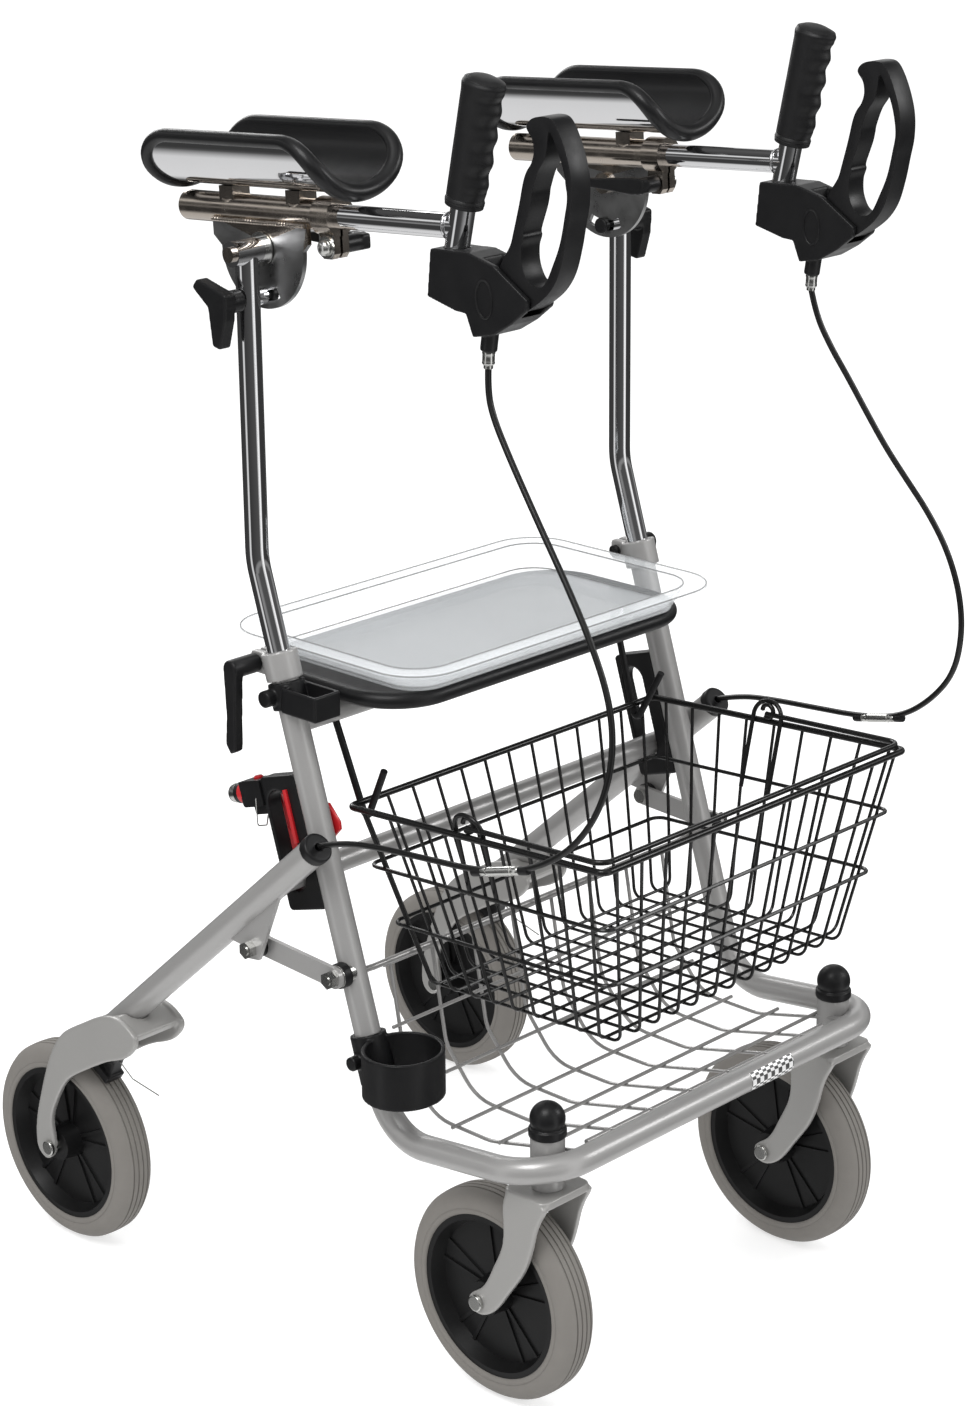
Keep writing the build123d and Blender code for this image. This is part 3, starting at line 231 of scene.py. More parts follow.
steel = material("brushed_plate", (0.36, 0.36, 0.36), 0.26, 1.0, mottle_scale=25, mottle_by=0.3,
                 smudge_by=0.15,
                 smudge_scale=40, grain_scale=700, grain_by=0.12)
# %% Plastic, rubber and wire
black = material("black_moulding", (0.0055, 0.0055, 0.006), 0.34, specular=0.32, mottle_by=0.2,
                 smudge_by=0.12, smudge_scale=45,
                 grain_scale=1600, grain_by=0.25)
soft = material("soft_pad", (0.005, 0.005, 0.0055), 0.36, specular=0.3, mottle_by=0.2, smudge_by=0.14,
                smudge_scale=30,
                grain_scale=2200, grain_by=0.3, coat=0.12)
rubber = material("grip_rubber", (0.005, 0.005, 0.0055), 0.42, specular=0.32, mottle_by=0.2, smudge_by=0.14,
                  smudge_scale=70,
                  grain_scale=1800, grain_by=0.35)
tyre_grey = material("grey_tyre", (0.165, 0.155, 0.142), 0.68, mottle_scale=60, mottle_by=0.18,
                     smudge_by=0.12,
                     grain_scale=1100, grain_by=0.45, grain_depth=0.0003)
rim_black = material("rim_moulding", (0.006, 0.006, 0.0062), 0.3, specular=0.35, mottle_by=0.2,
                     smudge_by=0.15, grain_scale=1000,
                     grain_by=0.3)
wire_black = material("coated_wire", (0.005, 0.005, 0.005), 0.24, specular=0.35, mottle_by=0.15,
                      smudge_by=0.08, grain_scale=600,
                      grain_by=0.15, coat=0.1)
wire_grey = material("rack_wire", (0.30, 0.295, 0.29), 0.3, 0.5, mottle_scale=900, mottle_by=0.2,
                     grain_scale=900,
                     grain_by=0.15, coat=0.3)
red = material("red_moulding", (0.42, 0.010, 0.014), 0.28, mottle_by=0.1, grain_scale=1400, grain_by=0.15)
sheath = material("cable_sheath", (0.005, 0.005, 0.005), 0.27, specular=0.35, mottle_by=0.15,
                  smudge_by=0.08, grain_scale=900,
                  grain_by=0.12, coat=0.1)


# %% [markdown]
# Clear plastic could be glass with real refraction, which is slow and noisy for a thin tray.
# A Layer Weight instead makes the moulding clearer face on and milkier at its edges.
# The reflective tape is a checker turned by 45 degrees on a bright base.

# %% Clear moulding and tape
def clear_material():
    """Clear moulding: nearly invisible face on, milky and glossy where it is seen edge on."""
    made = material("clear_moulding", (0.80, 0.83, 0.85), 0.06, mottle_by=0.04, smudge_by=0.1,
                    smudge_scale=12,
                    grain_scale=30, grain_by=0.05, specular=0.8)
    tree = made.node_tree
    facing = tree.nodes.new("ShaderNodeLayerWeight")
    facing.inputs["Blend"].default_value = 0.32
    span = tree.nodes.new("ShaderNodeMapRange")
    span.inputs["To Min"].default_value = 0.05
    span.inputs["To Max"].default_value = 0.55
    link(tree, facing.outputs["Facing"], span.inputs["Value"])
    link(tree, span.outputs["Result"], tree.nodes["Principled BSDF"].inputs["Alpha"])
    return made


def checker_material():
    """Reflective tape: small silver squares on a darker ground."""
    made = material("reflective_tape", (0.7, 0.7, 0.7), 0.3, 0.3, grain_by=0.05)
    tree = made.node_tree
    place = tree.nodes.new("ShaderNodeTexCoord")
    turn = tree.nodes.new("ShaderNodeMapping")
    turn.inputs["Rotation"].default_value = (radians(45), 0, 0)
    squares = tree.nodes.new("ShaderNodeTexChecker")
    squares.inputs["Scale"].default_value = 210.0
    squares.inputs["Color1"].default_value = (0.85, 0.85, 0.85, 1)
    squares.inputs["Color2"].default_value = (0.08, 0.08, 0.08, 1)
    link(tree, place.outputs["Object"], turn.inputs["Vector"])
    link(tree, turn.outputs["Vector"], squares.inputs["Vector"])
    link(tree, squares.outputs["Color"], tree.nodes["Principled BSDF"].inputs["Base Color"])
    return made


clear, tape = clear_material(), checker_material()
print("materials", len(bpy.data.materials))

# %% [markdown]
# ## Tools for making pieces
# Nearly everything here is tube, wire, turned part or flat moulding, so four tools make it all.
# Tubes and wires are rings of vertices carried along a path without twist, turned parts are
# profiles carried round an axis, and flat mouldings are outlines that are filled, extruded and
# bevelled with bmesh operators. Left and right pieces are one mesh and its mirror image.

# %% Placing pieces
def add_piece(name, bm, mat, body, slot, replaces=(), smooth=True, angle=40.0):
    """Turn a bmesh into an object that rides on a body."""
    bmesh.ops.recalc_face_normals(bm, faces=bm.faces)
    mesh = bpy.data.meshes.new(name)
    bm.to_mesh(mesh)
    bm.free()
    piece = bpy.data.objects.new(name, mesh)
    scene.collection.objects.link(piece)
    mesh.materials.append(mat)
    if smooth:
        mesh.shade_smooth()
        mesh.set_sharp_from_angle(angle=radians(angle))
    if body:
        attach(piece, body)
    if replaces:
        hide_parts(*replaces)
    return piece


def mirror_bmesh(bm):
    twin = bm.copy()
    for vert in twin.verts:
        vert.co.x = -vert.co.x
    bmesh.ops.reverse_faces(twin, faces=twin.faces)
    return twin


def add_pair(name, bm, mat, body, slot, replaces=(), **options):
    """The same piece on both sides: names, bodies and nodes end in _left and _right."""
    bmesh.ops.recalc_face_normals(bm, faces=bm.faces)
    twin = mirror_bmesh(bm)
    made = []
    for mesh, side in ((bm, "_left"), (twin, "_right")):
        on = body + side if body not in ("front_frame", "rear_frame", "stay_links", "basket") else body
        made.append(add_piece(name + side, mesh, mat, on, slot, [n + side for n in replaces], **options))
    return made


# %% Paths and tubes
def rounded(points, radii, step=radians(9)):
    """A path through corners, each rounded by an arc of its radius."""
    points = [Vector(p) for p in points]
    path = [points[0]]
    for before, corner, after, radius in zip(points, points[1:], points[2:], radii):
        into, away = (corner - before).normalized(), (after - corner).normalized()
        turn = into.angle(away)
        if turn < 1e-4 or radius <= 0:
            path.append(corner)
            continue
        reach = radius * tan(turn / 2)
        centre = corner + (away - into).normalized() * (radius / cos(turn / 2))
        start = corner - into * reach - centre
        axis = into.cross(away).normalized()
        count = max(2, int(turn / step))
        path += [centre + Matrix.Rotation(turn * i / count, 3, axis) @ start for i in range(count + 1)]
    return path + [points[-1]]


def ring_frames(path, closed):
    """A pair of cross directions at each point, carried along without twist."""
    count = len(path)
    tangents = []
    for i in range(count):
        a = path[(i - 1) % count] if closed or i else path[0]
        b = path[(i + 1) % count] if closed or i < count - 1 else path[-1]
        tangents.append((b - a).normalized())
    across = tangents[0].orthogonal().normalized()
    frames = []
    for tangent in tangents:
        across = (across - tangent * across.dot(tangent)).normalized()
        frames.append((across, tangent.cross(across)))
    return frames


def tube(bm, path, radius, sides=12, closed=False, ends="flat"):
    """Carry a circle along a path. radius is one value or one per point."""
    path = [Vector(p) for p in path]
    frames = ring_frames(path, closed)
    radii = radius if isinstance(radius, (list, tuple)) else [radius] * len(path)
    rings = []
    for place, (u, v), r in zip(path, frames, radii):
        rings.append([bm.verts.new(place + r * (cos(2 * pi * i / sides) * u + sin(2 * pi * i / sides) * v))
                      for i in range(sides)])
    pairs = list(zip(rings, rings[1:]))
    if closed:
        # the last ring meets the first at the rotation that twists least
        shift = min(range(sides), key=lambda s: (rings[-1][0].co - rings[0][s].co).length)
        pairs.append((rings[-1], rings[0][shift:] + rings[0][:shift]))
    for a, b in pairs:
        for i in range(sides):
            bm.faces.new((a[i], a[(i + 1) % sides], b[(i + 1) % sides], b[i]))
    if not closed and ends == "flat":
        bm.faces.new(rings[0][::-1])
        bm.faces.new(rings[-1])
    elif not closed and ends == "round":
        for ring, out in ((rings[0], path[0] - path[1]), (rings[-1], path[-1] - path[-2])):
            tip = bm.verts.new(sum((v.co for v in ring),
                                   Vector()) / sides + out.normalized() * radii[0] * 0.6)
            for i in range(sides):
                bm.faces.new((ring[i], ring[(i + 1) % sides], tip))
    return rings


# %% Turned parts
def lathe(bm, profile, origin, axis, sides=48):
    """Spin (radius, distance) points about an axis. The profile runs end to end, on the axis or closed."""
    axis = Vector(axis).normalized()
    u = axis.orthogonal().normalized()
    v = axis.cross(u)
    origin = Vector(origin)
    rings = []
    for r, d in profile:
        middle = origin + axis * d
        if r < 1e-7:
            rings.append([bm.verts.new(middle)])
            continue
        rings.append([bm.verts.new(middle + r * (cos(2 * pi * i / sides) * u + sin(2 * pi * i / sides) * v))
                      for i in range(sides)])
    for a, b in zip(rings, rings[1:]):
        for i in range(sides):
            j = (i + 1) % sides
            if len(a) == 1 and len(b) == 1:
                continue
            if len(a) == 1:
                bm.faces.new((a[0], b[j], b[i]))
            elif len(b) == 1:
                bm.faces.new((a[i], a[j], b[0]))
            else:
                bm.faces.new((a[i], a[j], b[j], b[i]))
    return rings


# %% Flat mouldings
def flowing(points, per_span=8):
    """A smooth closed line through its points."""
    points = [Vector(p) for p in points]
    count = len(points)
    line = []
    for i in range(count):
        a, b, c, d = (points[(i + k) % count] for k in (-1, 0, 1, 2))
        for j in range(per_span):
            t = j / per_span
            line.append(0.5 * ((2 * b) + (c - a) * t + (2 * a - 5 * b + 4 * c - d) * t * t
                               + (3 * b - a - 3 * c + d) * t * t * t))
    return line


def moulding(bm, outline, x0, x1, holes=(), edge=0.0015, segments=3):
    """A flat outline of (x, y, z) points with any holes, thick from x0 to x1, its edges rounded."""
    part = bmesh.new()
    loops = []
    for line in (outline, *holes):
        verts = [part.verts.new((x0, p[1], p[2])) for p in line]
        loops += [part.edges.new((verts[i], verts[(i + 1) % len(verts)])) for i in range(len(verts))]
    bmesh.ops.triangle_fill(part, edges=loops, use_beauty=True)
    made = bmesh.ops.extrude_face_region(part, geom=part.faces[:])
    bmesh.ops.translate(part, verts=[g for g in made["geom"] if isinstance(g, bmesh.types.BMVert)],
                        vec=(x1 - x0, 0, 0))
    bmesh.ops.recalc_face_normals(part, faces=part.faces)
    if edge:
        sharp = [e for e in part.edges if len(e.link_faces) == 2 and e.calc_face_angle() > radians(50)]
        bmesh.ops.bevel(part, geom=sharp, offset=edge, affect="EDGES", segments=segments, profile=0.5,
                        material=-1,
                        clamp_overlap=True)
    join(bm, part)


def join(bm, other):
    mesh = bpy.data.meshes.new("part")
    other.to_mesh(mesh)
    other.free()
    bm.from_mesh(mesh)
    bpy.data.meshes.remove(mesh)


# %% [markdown]
# A cast or moulded part has no knife edges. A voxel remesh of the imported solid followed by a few
# passes of smoothing rounds every edge a little, whatever its shape, where bevelling the solid's
# loose triangles would fail. A tube or a turned pin has no such edges and is shown as it is.

# %% Softened and plain CAD pieces
def soften(node, name, voxel, passes, mat, body):
    """A moulded copy of a CAD piece: same form, every edge rounded as it comes from a mould."""
    mesh = nodes[node].data.copy()
    mesh.name = name
    piece = bpy.data.objects.new(name, mesh)
    scene.collection.objects.link(piece)
    remesh = piece.modifiers.new("remesh", "REMESH")
    remesh.mode = "VOXEL"
    remesh.voxel_size = voxel
    relax = piece.modifiers.new("relax", "SMOOTH")
    relax.factor = 0.5
    relax.iterations = passes
    settled = bpy.data.meshes.new_from_object(piece.evaluated_get(bpy.context.evaluated_depsgraph_get()))
    piece.modifiers.clear()
    piece.data = settled
    settled.name = name
    settled.materials.clear()
    settled.materials.append(mat)
    settled.shade_smooth()
    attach(piece, body)
    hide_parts(node)
    return piece


def dress(node, mat, angle=30.0):
    """A CAD node shown as it is, in its own material and shaded smoothly over its curves."""
    mesh = nodes[node].data
    mesh.materials.clear()
    mesh.materials.append(mat)
    mesh.shade_smooth()
    mesh.set_sharp_from_angle(angle=radians(angle))


SIDES = (("_left", 1), ("_right", -1))
print("tools ready")

# %% [markdown]
# ## Brake cables
# Each sheathed cable leaves the brake housing's nipple, hangs in one long bow in front of the
# post and runs back over the basket into the plug on the rear leg. The two hang differently.
# A cable is a NURBS curve of order 3 steered by a few control points, because it bends smoothly
# past them as a springy sheath does, and its round section comes from the curve's bevel.

# %% Cables
def cable(side, points, mat):
    line = bpy.data.curves.new("brake_cable_line" + side, "CURVE")
    line.dimensions = "3D"
    spline = line.splines.new("NURBS")
    spline.points.add(len(points) - 1)
    for point, place in zip(spline.points, points):
        point.co = (*place, 1)
    spline.order_u = 3
    spline.use_endpoint_u = True
    line.resolution_u = 12
    line.bevel_depth = 0.0025
    line.bevel_resolution = 5
    line.use_fill_caps = True
    piece = bpy.data.objects.new("cable" + side, line)
    scene.collection.objects.link(piece)
    line.materials.append(mat)
    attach(piece, "front_frame")
    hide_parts("brake_cable" + side)
    return piece


left_points = [
    (.1900, -.2301, .8646), (.1915, -.2345, .8433), (.1940, -.2488, .8177), (.1965, -.2650, .7950),
    (.1990, -.2824, .7690), (.2020, -.3023, .7400), (.2050, -.3220, .7160), (.2080, -.3430, .6910),
    (.2100, -.3620, .6620), (.2115, -.3745, .6280), (.2130, -.3775, .5930), (.2180, -.3670, .5550),
    (.2250, -.3380, .5230), (.2310, -.3040, .5000), (.2360, -.2580, .4885), (.2400, -.2030, .4830),
    (.2435, -.1530, .4780), (.2455, -.1180, .4725), (.2457, -.0921, .4640)]
right_points = [
    (-.1900, -.2301, .8646), (-.1910, -.2300, .8463), (-.1925, -.2370, .8270), (-.1945, -.2545, .8010),
    (-.1970, -.2761, .7721), (-.1995, -.2964, .7459), (-.2030, -.3220, .7140), (-.2070, -.3475, .6800),
    (-.2110, -.3690, .6430), (-.2150, -.3775, .6080), (-.2210, -.3755, .5740), (-.2260, -.3640, .5450),
    (-.2310, -.3440, .5200), (-.2340, -.3100, .4990), (-.2370, -.2620, .4860), (-.2400, -.2030, .4820),
    (-.2435, -.1530, .4790), (-.2455, -.1180, .4735), (-.2457, -.0921, .4640)]
cable("_left", left_points, sheath)
cable("_right", right_points, sheath)

# %% [markdown]
# Where the inner wire is joined, a short bright coupler sits on each cable above the basket,
# between two black end sleeves. All are turned parts, made from one profile each.

# %% Cable couplers and ferrules
def coupler(side, middle, along):
    bm = bmesh.new()
    along = Vector(along).normalized()
    profile = [(0, -.0195), (.0028, -.0195), (.0036, -.0185), (.0036, -.0135), (.0030, -.0130),
               (.0030, -.0120),
               (.0040, -.0115), (.0040, .0115), (.0030, .0120), (.0030, .0130), (.0036, .0135),
               (.0036, .0185),
               (.0028, .0195), (0, .0195)]
    lathe(bm, profile, middle, along, sides=24)
    add_piece("cable_coupler" + side, bm, zinc, "front_frame", "zinc")
    bm = bmesh.new()
    for reach in (-.024, .024):
        lathe(bm, [(0, reach - .0045), (.0033, reach - .0045), (.0036, reach - .003), (.0036, reach + .003),
                   (.0033, reach + .0045), (0, reach + .0045)], middle, along, sides=20)
    add_piece("cable_sleeves" + side, bm, black, "front_frame", "black_plastic")


coupler("_left", (.2336, -.2800, .4928), (.005, .046, -.0115))
coupler("_right", (-.2356, -.2815, .4910), (-.003, .044, -.012))

# %% [markdown]
# ## Armrests
# An armrest has its own frame: the origin is on the tilt pivot, forward is along the rod and
# up is square to it. The whole armrest is tipped 3.5 degrees, front up.

# %% Armrest frame
ARM_X, POST_Y, PIVOT_Z, TIP = 0.190, 0.00294, 0.924, radians(3.5)


def arm(forward, up, across=0.0):
    """A place on the left armrest from millimetres forward, up and outward."""
    f, u = forward / 1000, up / 1000
    return Vector((ARM_X + across / 1000, POST_Y - f * cos(TIP) + u * sin(TIP),
                   PIVOT_Z + f * sin(TIP) + u * cos(TIP)))


ARM_FORWARD = (arm(1000, 0) - arm(0, 0)).normalized()
print("armrest forward", [round(v, 4) for v in ARM_FORWARD])

# %% [markdown]
# The gutter is a plated trough of half-elliptical section whose four top corners are rounded.
# Its liner is a thick black pad with a round bead that wraps the trough's whole border.
# A box could be bent into this shape, but a section repeated at many stations keeps the corners
# exact, and the liner then follows the trough at an even distance. Each sheet gets its thickness
# from a second grid set inwards and a strip that joins the two borders.

# %% Gutters
BACK, FRONT, HALF_W, DEPTH, BASE, CORNER = -95.0, 103.0, 48.0, 43.0, 46.5, 34.0


def top_drop(forward):
    """How far the rounded corners lower the border at a distance from the trough's end."""
    reach = min(forward - BACK, FRONT - forward)
    if reach >= CORNER:
        return 0.0
    return CORNER - sqrt(max(CORNER ** 2 - (CORNER - reach) ** 2, 0.0))


def trough_point(forward, t, inset=0.0):
    """A point of the trough's section: t runs from -1 at one border to 1 at the other."""
    drop = top_drop(forward)
    half_w, depth = HALF_W - inset, DEPTH - inset
    lowest = -depth
    top_angle = 0.0 if drop <= 0 else min(pi / 2, atan2(drop / depth,
                                                        sqrt(max(1 - (drop / depth) ** 2, 1e-9))))
    swing = (pi / 2 - top_angle) * t
    return arm(forward, BASE + DEPTH + lowest * cos(swing), half_w * sin(swing))


def along_trough(count):
    """Stations from back to front, closer together where the corners turn."""
    return [BACK + (FRONT - BACK) * (0.5 - 0.5 * cos(pi * i / (count - 1))) for i in range(count)]


def grid_border(rows):
    """The outline of a grid: one side, the last row, the other side and the first row."""
    return [row[0] for row in rows] + rows[-1][1:] + [row[-1] for row in rows[-2::-1]] + rows[0][-2:0:-1]


def trough_sheet(inset, thick, count=44, across=36):
    bm = bmesh.new()
    grids = []
    for depth in (inset, inset + thick):
        grids.append([[bm.verts.new(trough_point(f, -1 + 2 * j / across, depth)) for j in range(across + 1)]
                      for f in along_trough(count)])
    outer, inner = grids
    for grid in grids:
        for a, b in zip(grid, grid[1:]):
            for j in range(across):
                bm.faces.new((a[j], a[j + 1], b[j + 1], b[j]))
    border_out, border_in = grid_border(outer), grid_border(inner)
    for i in range(len(border_out)):
        j = (i + 1) % len(border_out)
        bm.faces.new((border_out[i], border_out[j], border_in[j], border_in[i]))
    return bm


add_pair("gutter_trough", trough_sheet(0.0, 2.0), chrome, "armrest", "chrome", ["gutter_shell"])

pad = trough_sheet(2.1, 5.6)
stations = along_trough(60)
border = [trough_point(f, -1, 1.0) for f in stations]
border += [trough_point(FRONT, -1 + 2 * j / 40, 1.0) for j in range(1, 40)]
border += [trough_point(f, 1, 1.0) for f in stations[::-1]]
border += [trough_point(BACK, 1 - 2 * j / 40, 1.0) for j in range(1, 40)]
even, last = [border[0]], border[0]
for place in border[1:]:
    if (place - last).length > 0.0022:
        even.append(place)
        last = place
thick = [0.0054 + 0.0016 * max(0.0, 1 - min((p - arm(FRONT, 60)).dot(-ARM_FORWARD),
                                            40e-3) / 30e-3) for p in even]
tube(pad, even, thick, sides=16, closed=True)
pads = add_pair("gutter_liner", pad, soft, "armrest", "pad_foam", ["gutter_pad"], angle=60)
print("gutters", len(pads))

# %% [markdown]
# Under the gutter: the sleeve tube with its weld beads, the slotted tilt plate, the clamp with a
# domed bolt, and bright studs that carry the trough. The solids come from CAD as they are, with the
# plate's faces picked by their place and given a second finish. A weld bead is a thin tube whose
# radius swells and shrinks along its run.

# %% Armrest metalwork
def bead_line(bm, a, b, r, pitch=0.0032, seed=0.0):
    """A weld bead: a run of small overlapping humps."""
    count = int((b - a).length / pitch)
    path, radii = [], []
    for i in range(count * 4 + 1):
        t = i / (count * 4)
        wobble = 0.0003 * sin(i * 1.7 + seed)
        path.append(a.lerp(b, t) + Vector((0, 0, wobble)))
        radii.append(r * (0.82 + 0.18 * abs(sin(pi * (i / 4) + seed))))
    tube(bm, path, radii, sides=10)


for side, k in SIDES:
    dress("armrest_bracket" + side, nickel)
    bracket = nodes["armrest_bracket" + side]
    bracket.data.materials.append(steel)
    for face in bracket.data.polygons:
        middle = bracket.matrix_world @ face.center
        face.material_index = int(abs(k * middle.x - ARM_X - 0.009) < 0.0028 and middle.z < PIVOT_Z + 0.012)
    dress("post" + side, chrome)
    dress("handle_tube" + side, chrome)
beads = bmesh.new()
bead_line(beads, arm(-55, 20.5, 6.2), arm(52, 20.5, 6.2), 0.0021)
bead_line(beads, arm(-55, 20.5, 11.6), arm(52, 20.5, 11.6), 0.0021, seed=1.3)
for middle in (-40, 37):
    ring = [arm(middle + 9.5 * cos(2 * pi * i / 40), 38.6 - 4.0 * abs(sin(2 * pi * i / 40)) ** 2,
                9.5 * sin(2 * pi * i / 40))
            for i in range(40)]
    tube(beads, ring, 0.0014, sides=8, closed=True)
add_pair("weld_beads", beads, nickel, "armrest", "satin_nickel", angle=70)

ring = [arm(208 - 9.6, 28 + 9.6 * cos(2 * pi * i / 48), 9.6 * sin(2 * pi * i / 48)) for i in range(48)]
neck = bmesh.new()
tube(neck, ring, 0.0015, sides=8, closed=True)
add_pair("upright_weld", neck, chrome, "handle", "chrome", angle=70)

fittings = bmesh.new()
out = Vector((1, 0, 0))
lathe(fittings, [(0, -.0120), (.0062, -.0120), (.0062, -.0105), (.0048, -.0090), (.0020, -.0082),
                 (0, -.0080)][::-1],
      arm(71, 5), out, sides=32)
lathe(fittings, [(0, .0080), (.0086, .0080), (.0086, .0092), (0, .0092)], arm(71, 5), out, sides=32)
lathe(fittings, [(.0, .0092), (.0058, .0092), (.0063, .0105), (.0056, .0128), (.0036, .0144), (0, .0150)],
      arm(71, 5), out,
      sides=32)
lathe(fittings, [(0, .0118), (.0135, .0118), (.0135, .0130), (0, .0130)], arm(0, 0), out, sides=40)
add_pair("clamp_fittings", fittings, zinc, "armrest", "zinc")
print("armrest metalwork done")

# %% [markdown]
# The grip is a rubber sleeve with finger hollows at the front, a flared cap and fine rings at
# its lower end. It is one skin: an oval ring at each height, whose reach to the front, back and
# sides is read from three short tables and eased between their entries.

# %% Grips
LEAN = radians(16)


def upright(up, reach=0.0, across=0.0):
    """A place along the handle's leaning upright, reach forward of its axis."""
    f = 208 + (up - 28) * tan(LEAN)
    return arm(f + reach * cos(LEAN), up - reach * sin(LEAN), across)


def profile_at(points, s):
    for (s0, v0), (s1, v1) in zip(points, points[1:]):
        if s <= s1:
            t = (s - s0) / (s1 - s0)
            t = t * t * (3 - 2 * t)
            return v0 + (v1 - v0) * t
    return points[-1][1]


front_reach = [(0, 15.5), (4, 16.0), (6, 15.2), (13, 16.6), (18, 17.8), (26, 15.6), (36, 19.0), (45, 16.2),
               (55, 19.4),
               (64, 16.4), (74, 19.6), (82, 17.2), (88, 19.8), (92, 20.8), (95, 20.0), (97, 15.0),
               (97.8, 6.0)]
back_reach = [(0, 14.2), (4, 14.8), (6, 14.2), (50, 14.2), (86, 14.6), (92, 15.2), (95, 14.0), (97, 10.0),
              (97.8, 4.0)]
half_width = [(0, 14.0), (4, 14.6), (6, 14.0), (50, 14.4), (86, 14.4), (92, 14.6), (95, 13.4), (97, 9.5),
              (97.8, 3.5)]
grip = bmesh.new()
rings = []
heights = [97.8 * i / 150 for i in range(151)]
for s in heights:
    groove = 0.45 if s < 9 and (s % 3.0) < 0.9 and s > 1.0 else 0.0
    f, b, w = (profile_at(table, s) - groove for table in (front_reach, back_reach, half_width))
    ring = []
    for i in range(40):
        a = 2 * pi * i / 40
        along = f * cos(a) if cos(a) > 0 else b * cos(a)
        ring.append(grip.verts.new(upright(44 + s * cos(LEAN), along, w * sin(a))))
    rings.append(ring)
for a, b in zip(rings, rings[1:]):
    for i in range(40):
        grip.faces.new((a[i], a[(i + 1) % 40], b[(i + 1) % 40], b[i]))
grip.faces.new(rings[0][::-1])
grip.faces.new(rings[-1])
add_pair("hand_grip", grip, rubber, "handle", "grip_rubber", ["grip"], angle=50)
print("grips done")

# %% [markdown]
# The brake housing is a moulded block with an oval boss on each face, a nipple below it and a
# bright ferrule where the cable enters. The lever is a closed loop, a flat outer bow and a
# thicker inner bar, so it is an outline with one hole, made flowing by a spline through listed
# points and then given its thickness and its rounded edges.

# %% Brake housings and levers
for side, k in SIDES:
    soften("brake_housing" + side, "lever_housing" + side, 0.0008, 5, black, "handle" + side)

boss = bmesh.new()
for face in (15.0, -15.0):
    oval = [arm(243 + 8.0 * cos(2 * pi * i / 48), -21 + 14.0 * sin(2 * pi * i / 48),
                face) for i in range(48)]
    tube(boss, oval, 0.0009, sides=8, closed=True)
add_pair("housing_oval", boss, black, "handle", "black_plastic")

ferrule = bmesh.new()
down = (arm(229, -73) - arm(230.5, -60)).normalized()
lathe(ferrule, [(0, 0), (.0049, 0), (.0050, .0012), (.0047, .0020), (.0047, .0075), (.0050, .0083),
                (.0046, .0095),
                (.0036, .0105), (.0036, .0128), (0, .0128)], arm(230.2, -62.6), down, sides=28)
add_pair("cable_ferrule", ferrule, zinc, "handle", "zinc")

lever_outer = [(250, -8), (259, 8), (267, 19), (271, 29), (278, 49), (283, 65), (287, 73), (292, 79),
               (295, 87),
               (294, 96), (289, 104), (294, 110), (304, 112), (314, 110), (321, 100), (327, 84), (330, 68),
               (329, 51), (325, 36), (320, 18), (313, 0), (303, -13), (289, -23), (276, -29), (262, -30),
               (251, -22)]
lever_inner = [(311, 102), (318, 89), (323, 74), (325, 57), (322, 43), (316, 23), (308, 7), (300, -6),
               (292, -10),
               (283, -6), (278, 5), (278, 17), (281, 25), (281, 30), (288, 46), (290.5, 54), (292, 60),
               (298, 73),
               (305, 82), (308, 91)]
lever = bmesh.new()
moulding(lever, flowing([arm(f, u) for f, u in lever_outer]), ARM_X - 0.0098, ARM_X + 0.0098,
         [flowing([arm(f, u) for f, u in lever_inner])], edge=0.0015, segments=3)
add_pair("hand_lever", lever, black, "brake_lever", "black_plastic", ["brake_lever"], angle=35)
print("levers done")

# %% [markdown]
# Clamp levers, wing knobs, forks, guides, cups and caps are softened copies of their CAD pieces,
# as they come from a mould. The voxel is finer on the smaller pieces.

# %% Clamps and knobs
for side, k in SIDES:
    soften("rod_lever" + side, "rod_clamp_lever" + side, 0.0008, 5, black, "rod_lever" + side)
    soften("clamp_lever" + side, "post_clamp_lever" + side, 0.0009, 6, black, "clamp_lever" + side)
    soften("tilt_knob" + side, "wing_knob" + side, 0.0009, 6, black, "tilt_knob" + side)
    soften("caster_fork" + side, "front_fork" + side, 0.0010, 5, cast, "caster_" + side[1:])
    soften("brake_shoe" + side, "shoe" + side, 0.0010, 4, black, "brake_shoe" + side)
soften("post_clamps", "leg_collars", 0.0008, 4, silver, "front_frame")
soften("fold_guides", "slot_guides", 0.0010, 4, black, "front_frame")
soften("fold_latch", "red_latch", 0.0007, 4, red, "fold_latch")
soften("cane_holder", "cane_cup", 0.0009, 4, black, "front_frame")
soften("rear_leg_caps", "leg_plugs", 0.0008, 4, black, "rear_frame")
soften("rear_forks", "rear_fork_castings", 0.0011, 5, cast, "rear_frame")
soften("caster_caps", "sleeve_caps", 0.0008, 3, black, "front_frame")
print("moulded pieces done")

# %% [markdown]
# ## Wheels
# Solid grey tyres with fine grooves round the tread and a line at each shoulder, on black
# moulded rims. One profile spun about the axle makes a tyre with its grooves as real geometry.

# %% Tyres
TYRE_HALF, TYRE_BORE, TYRE_R = 0.018, 0.071, 0.092


def crown(x):
    """Radius of the slightly domed tread at a distance from its middle."""
    return TYRE_R - 0.9 * (x / TYRE_HALF) ** 2 * .0022


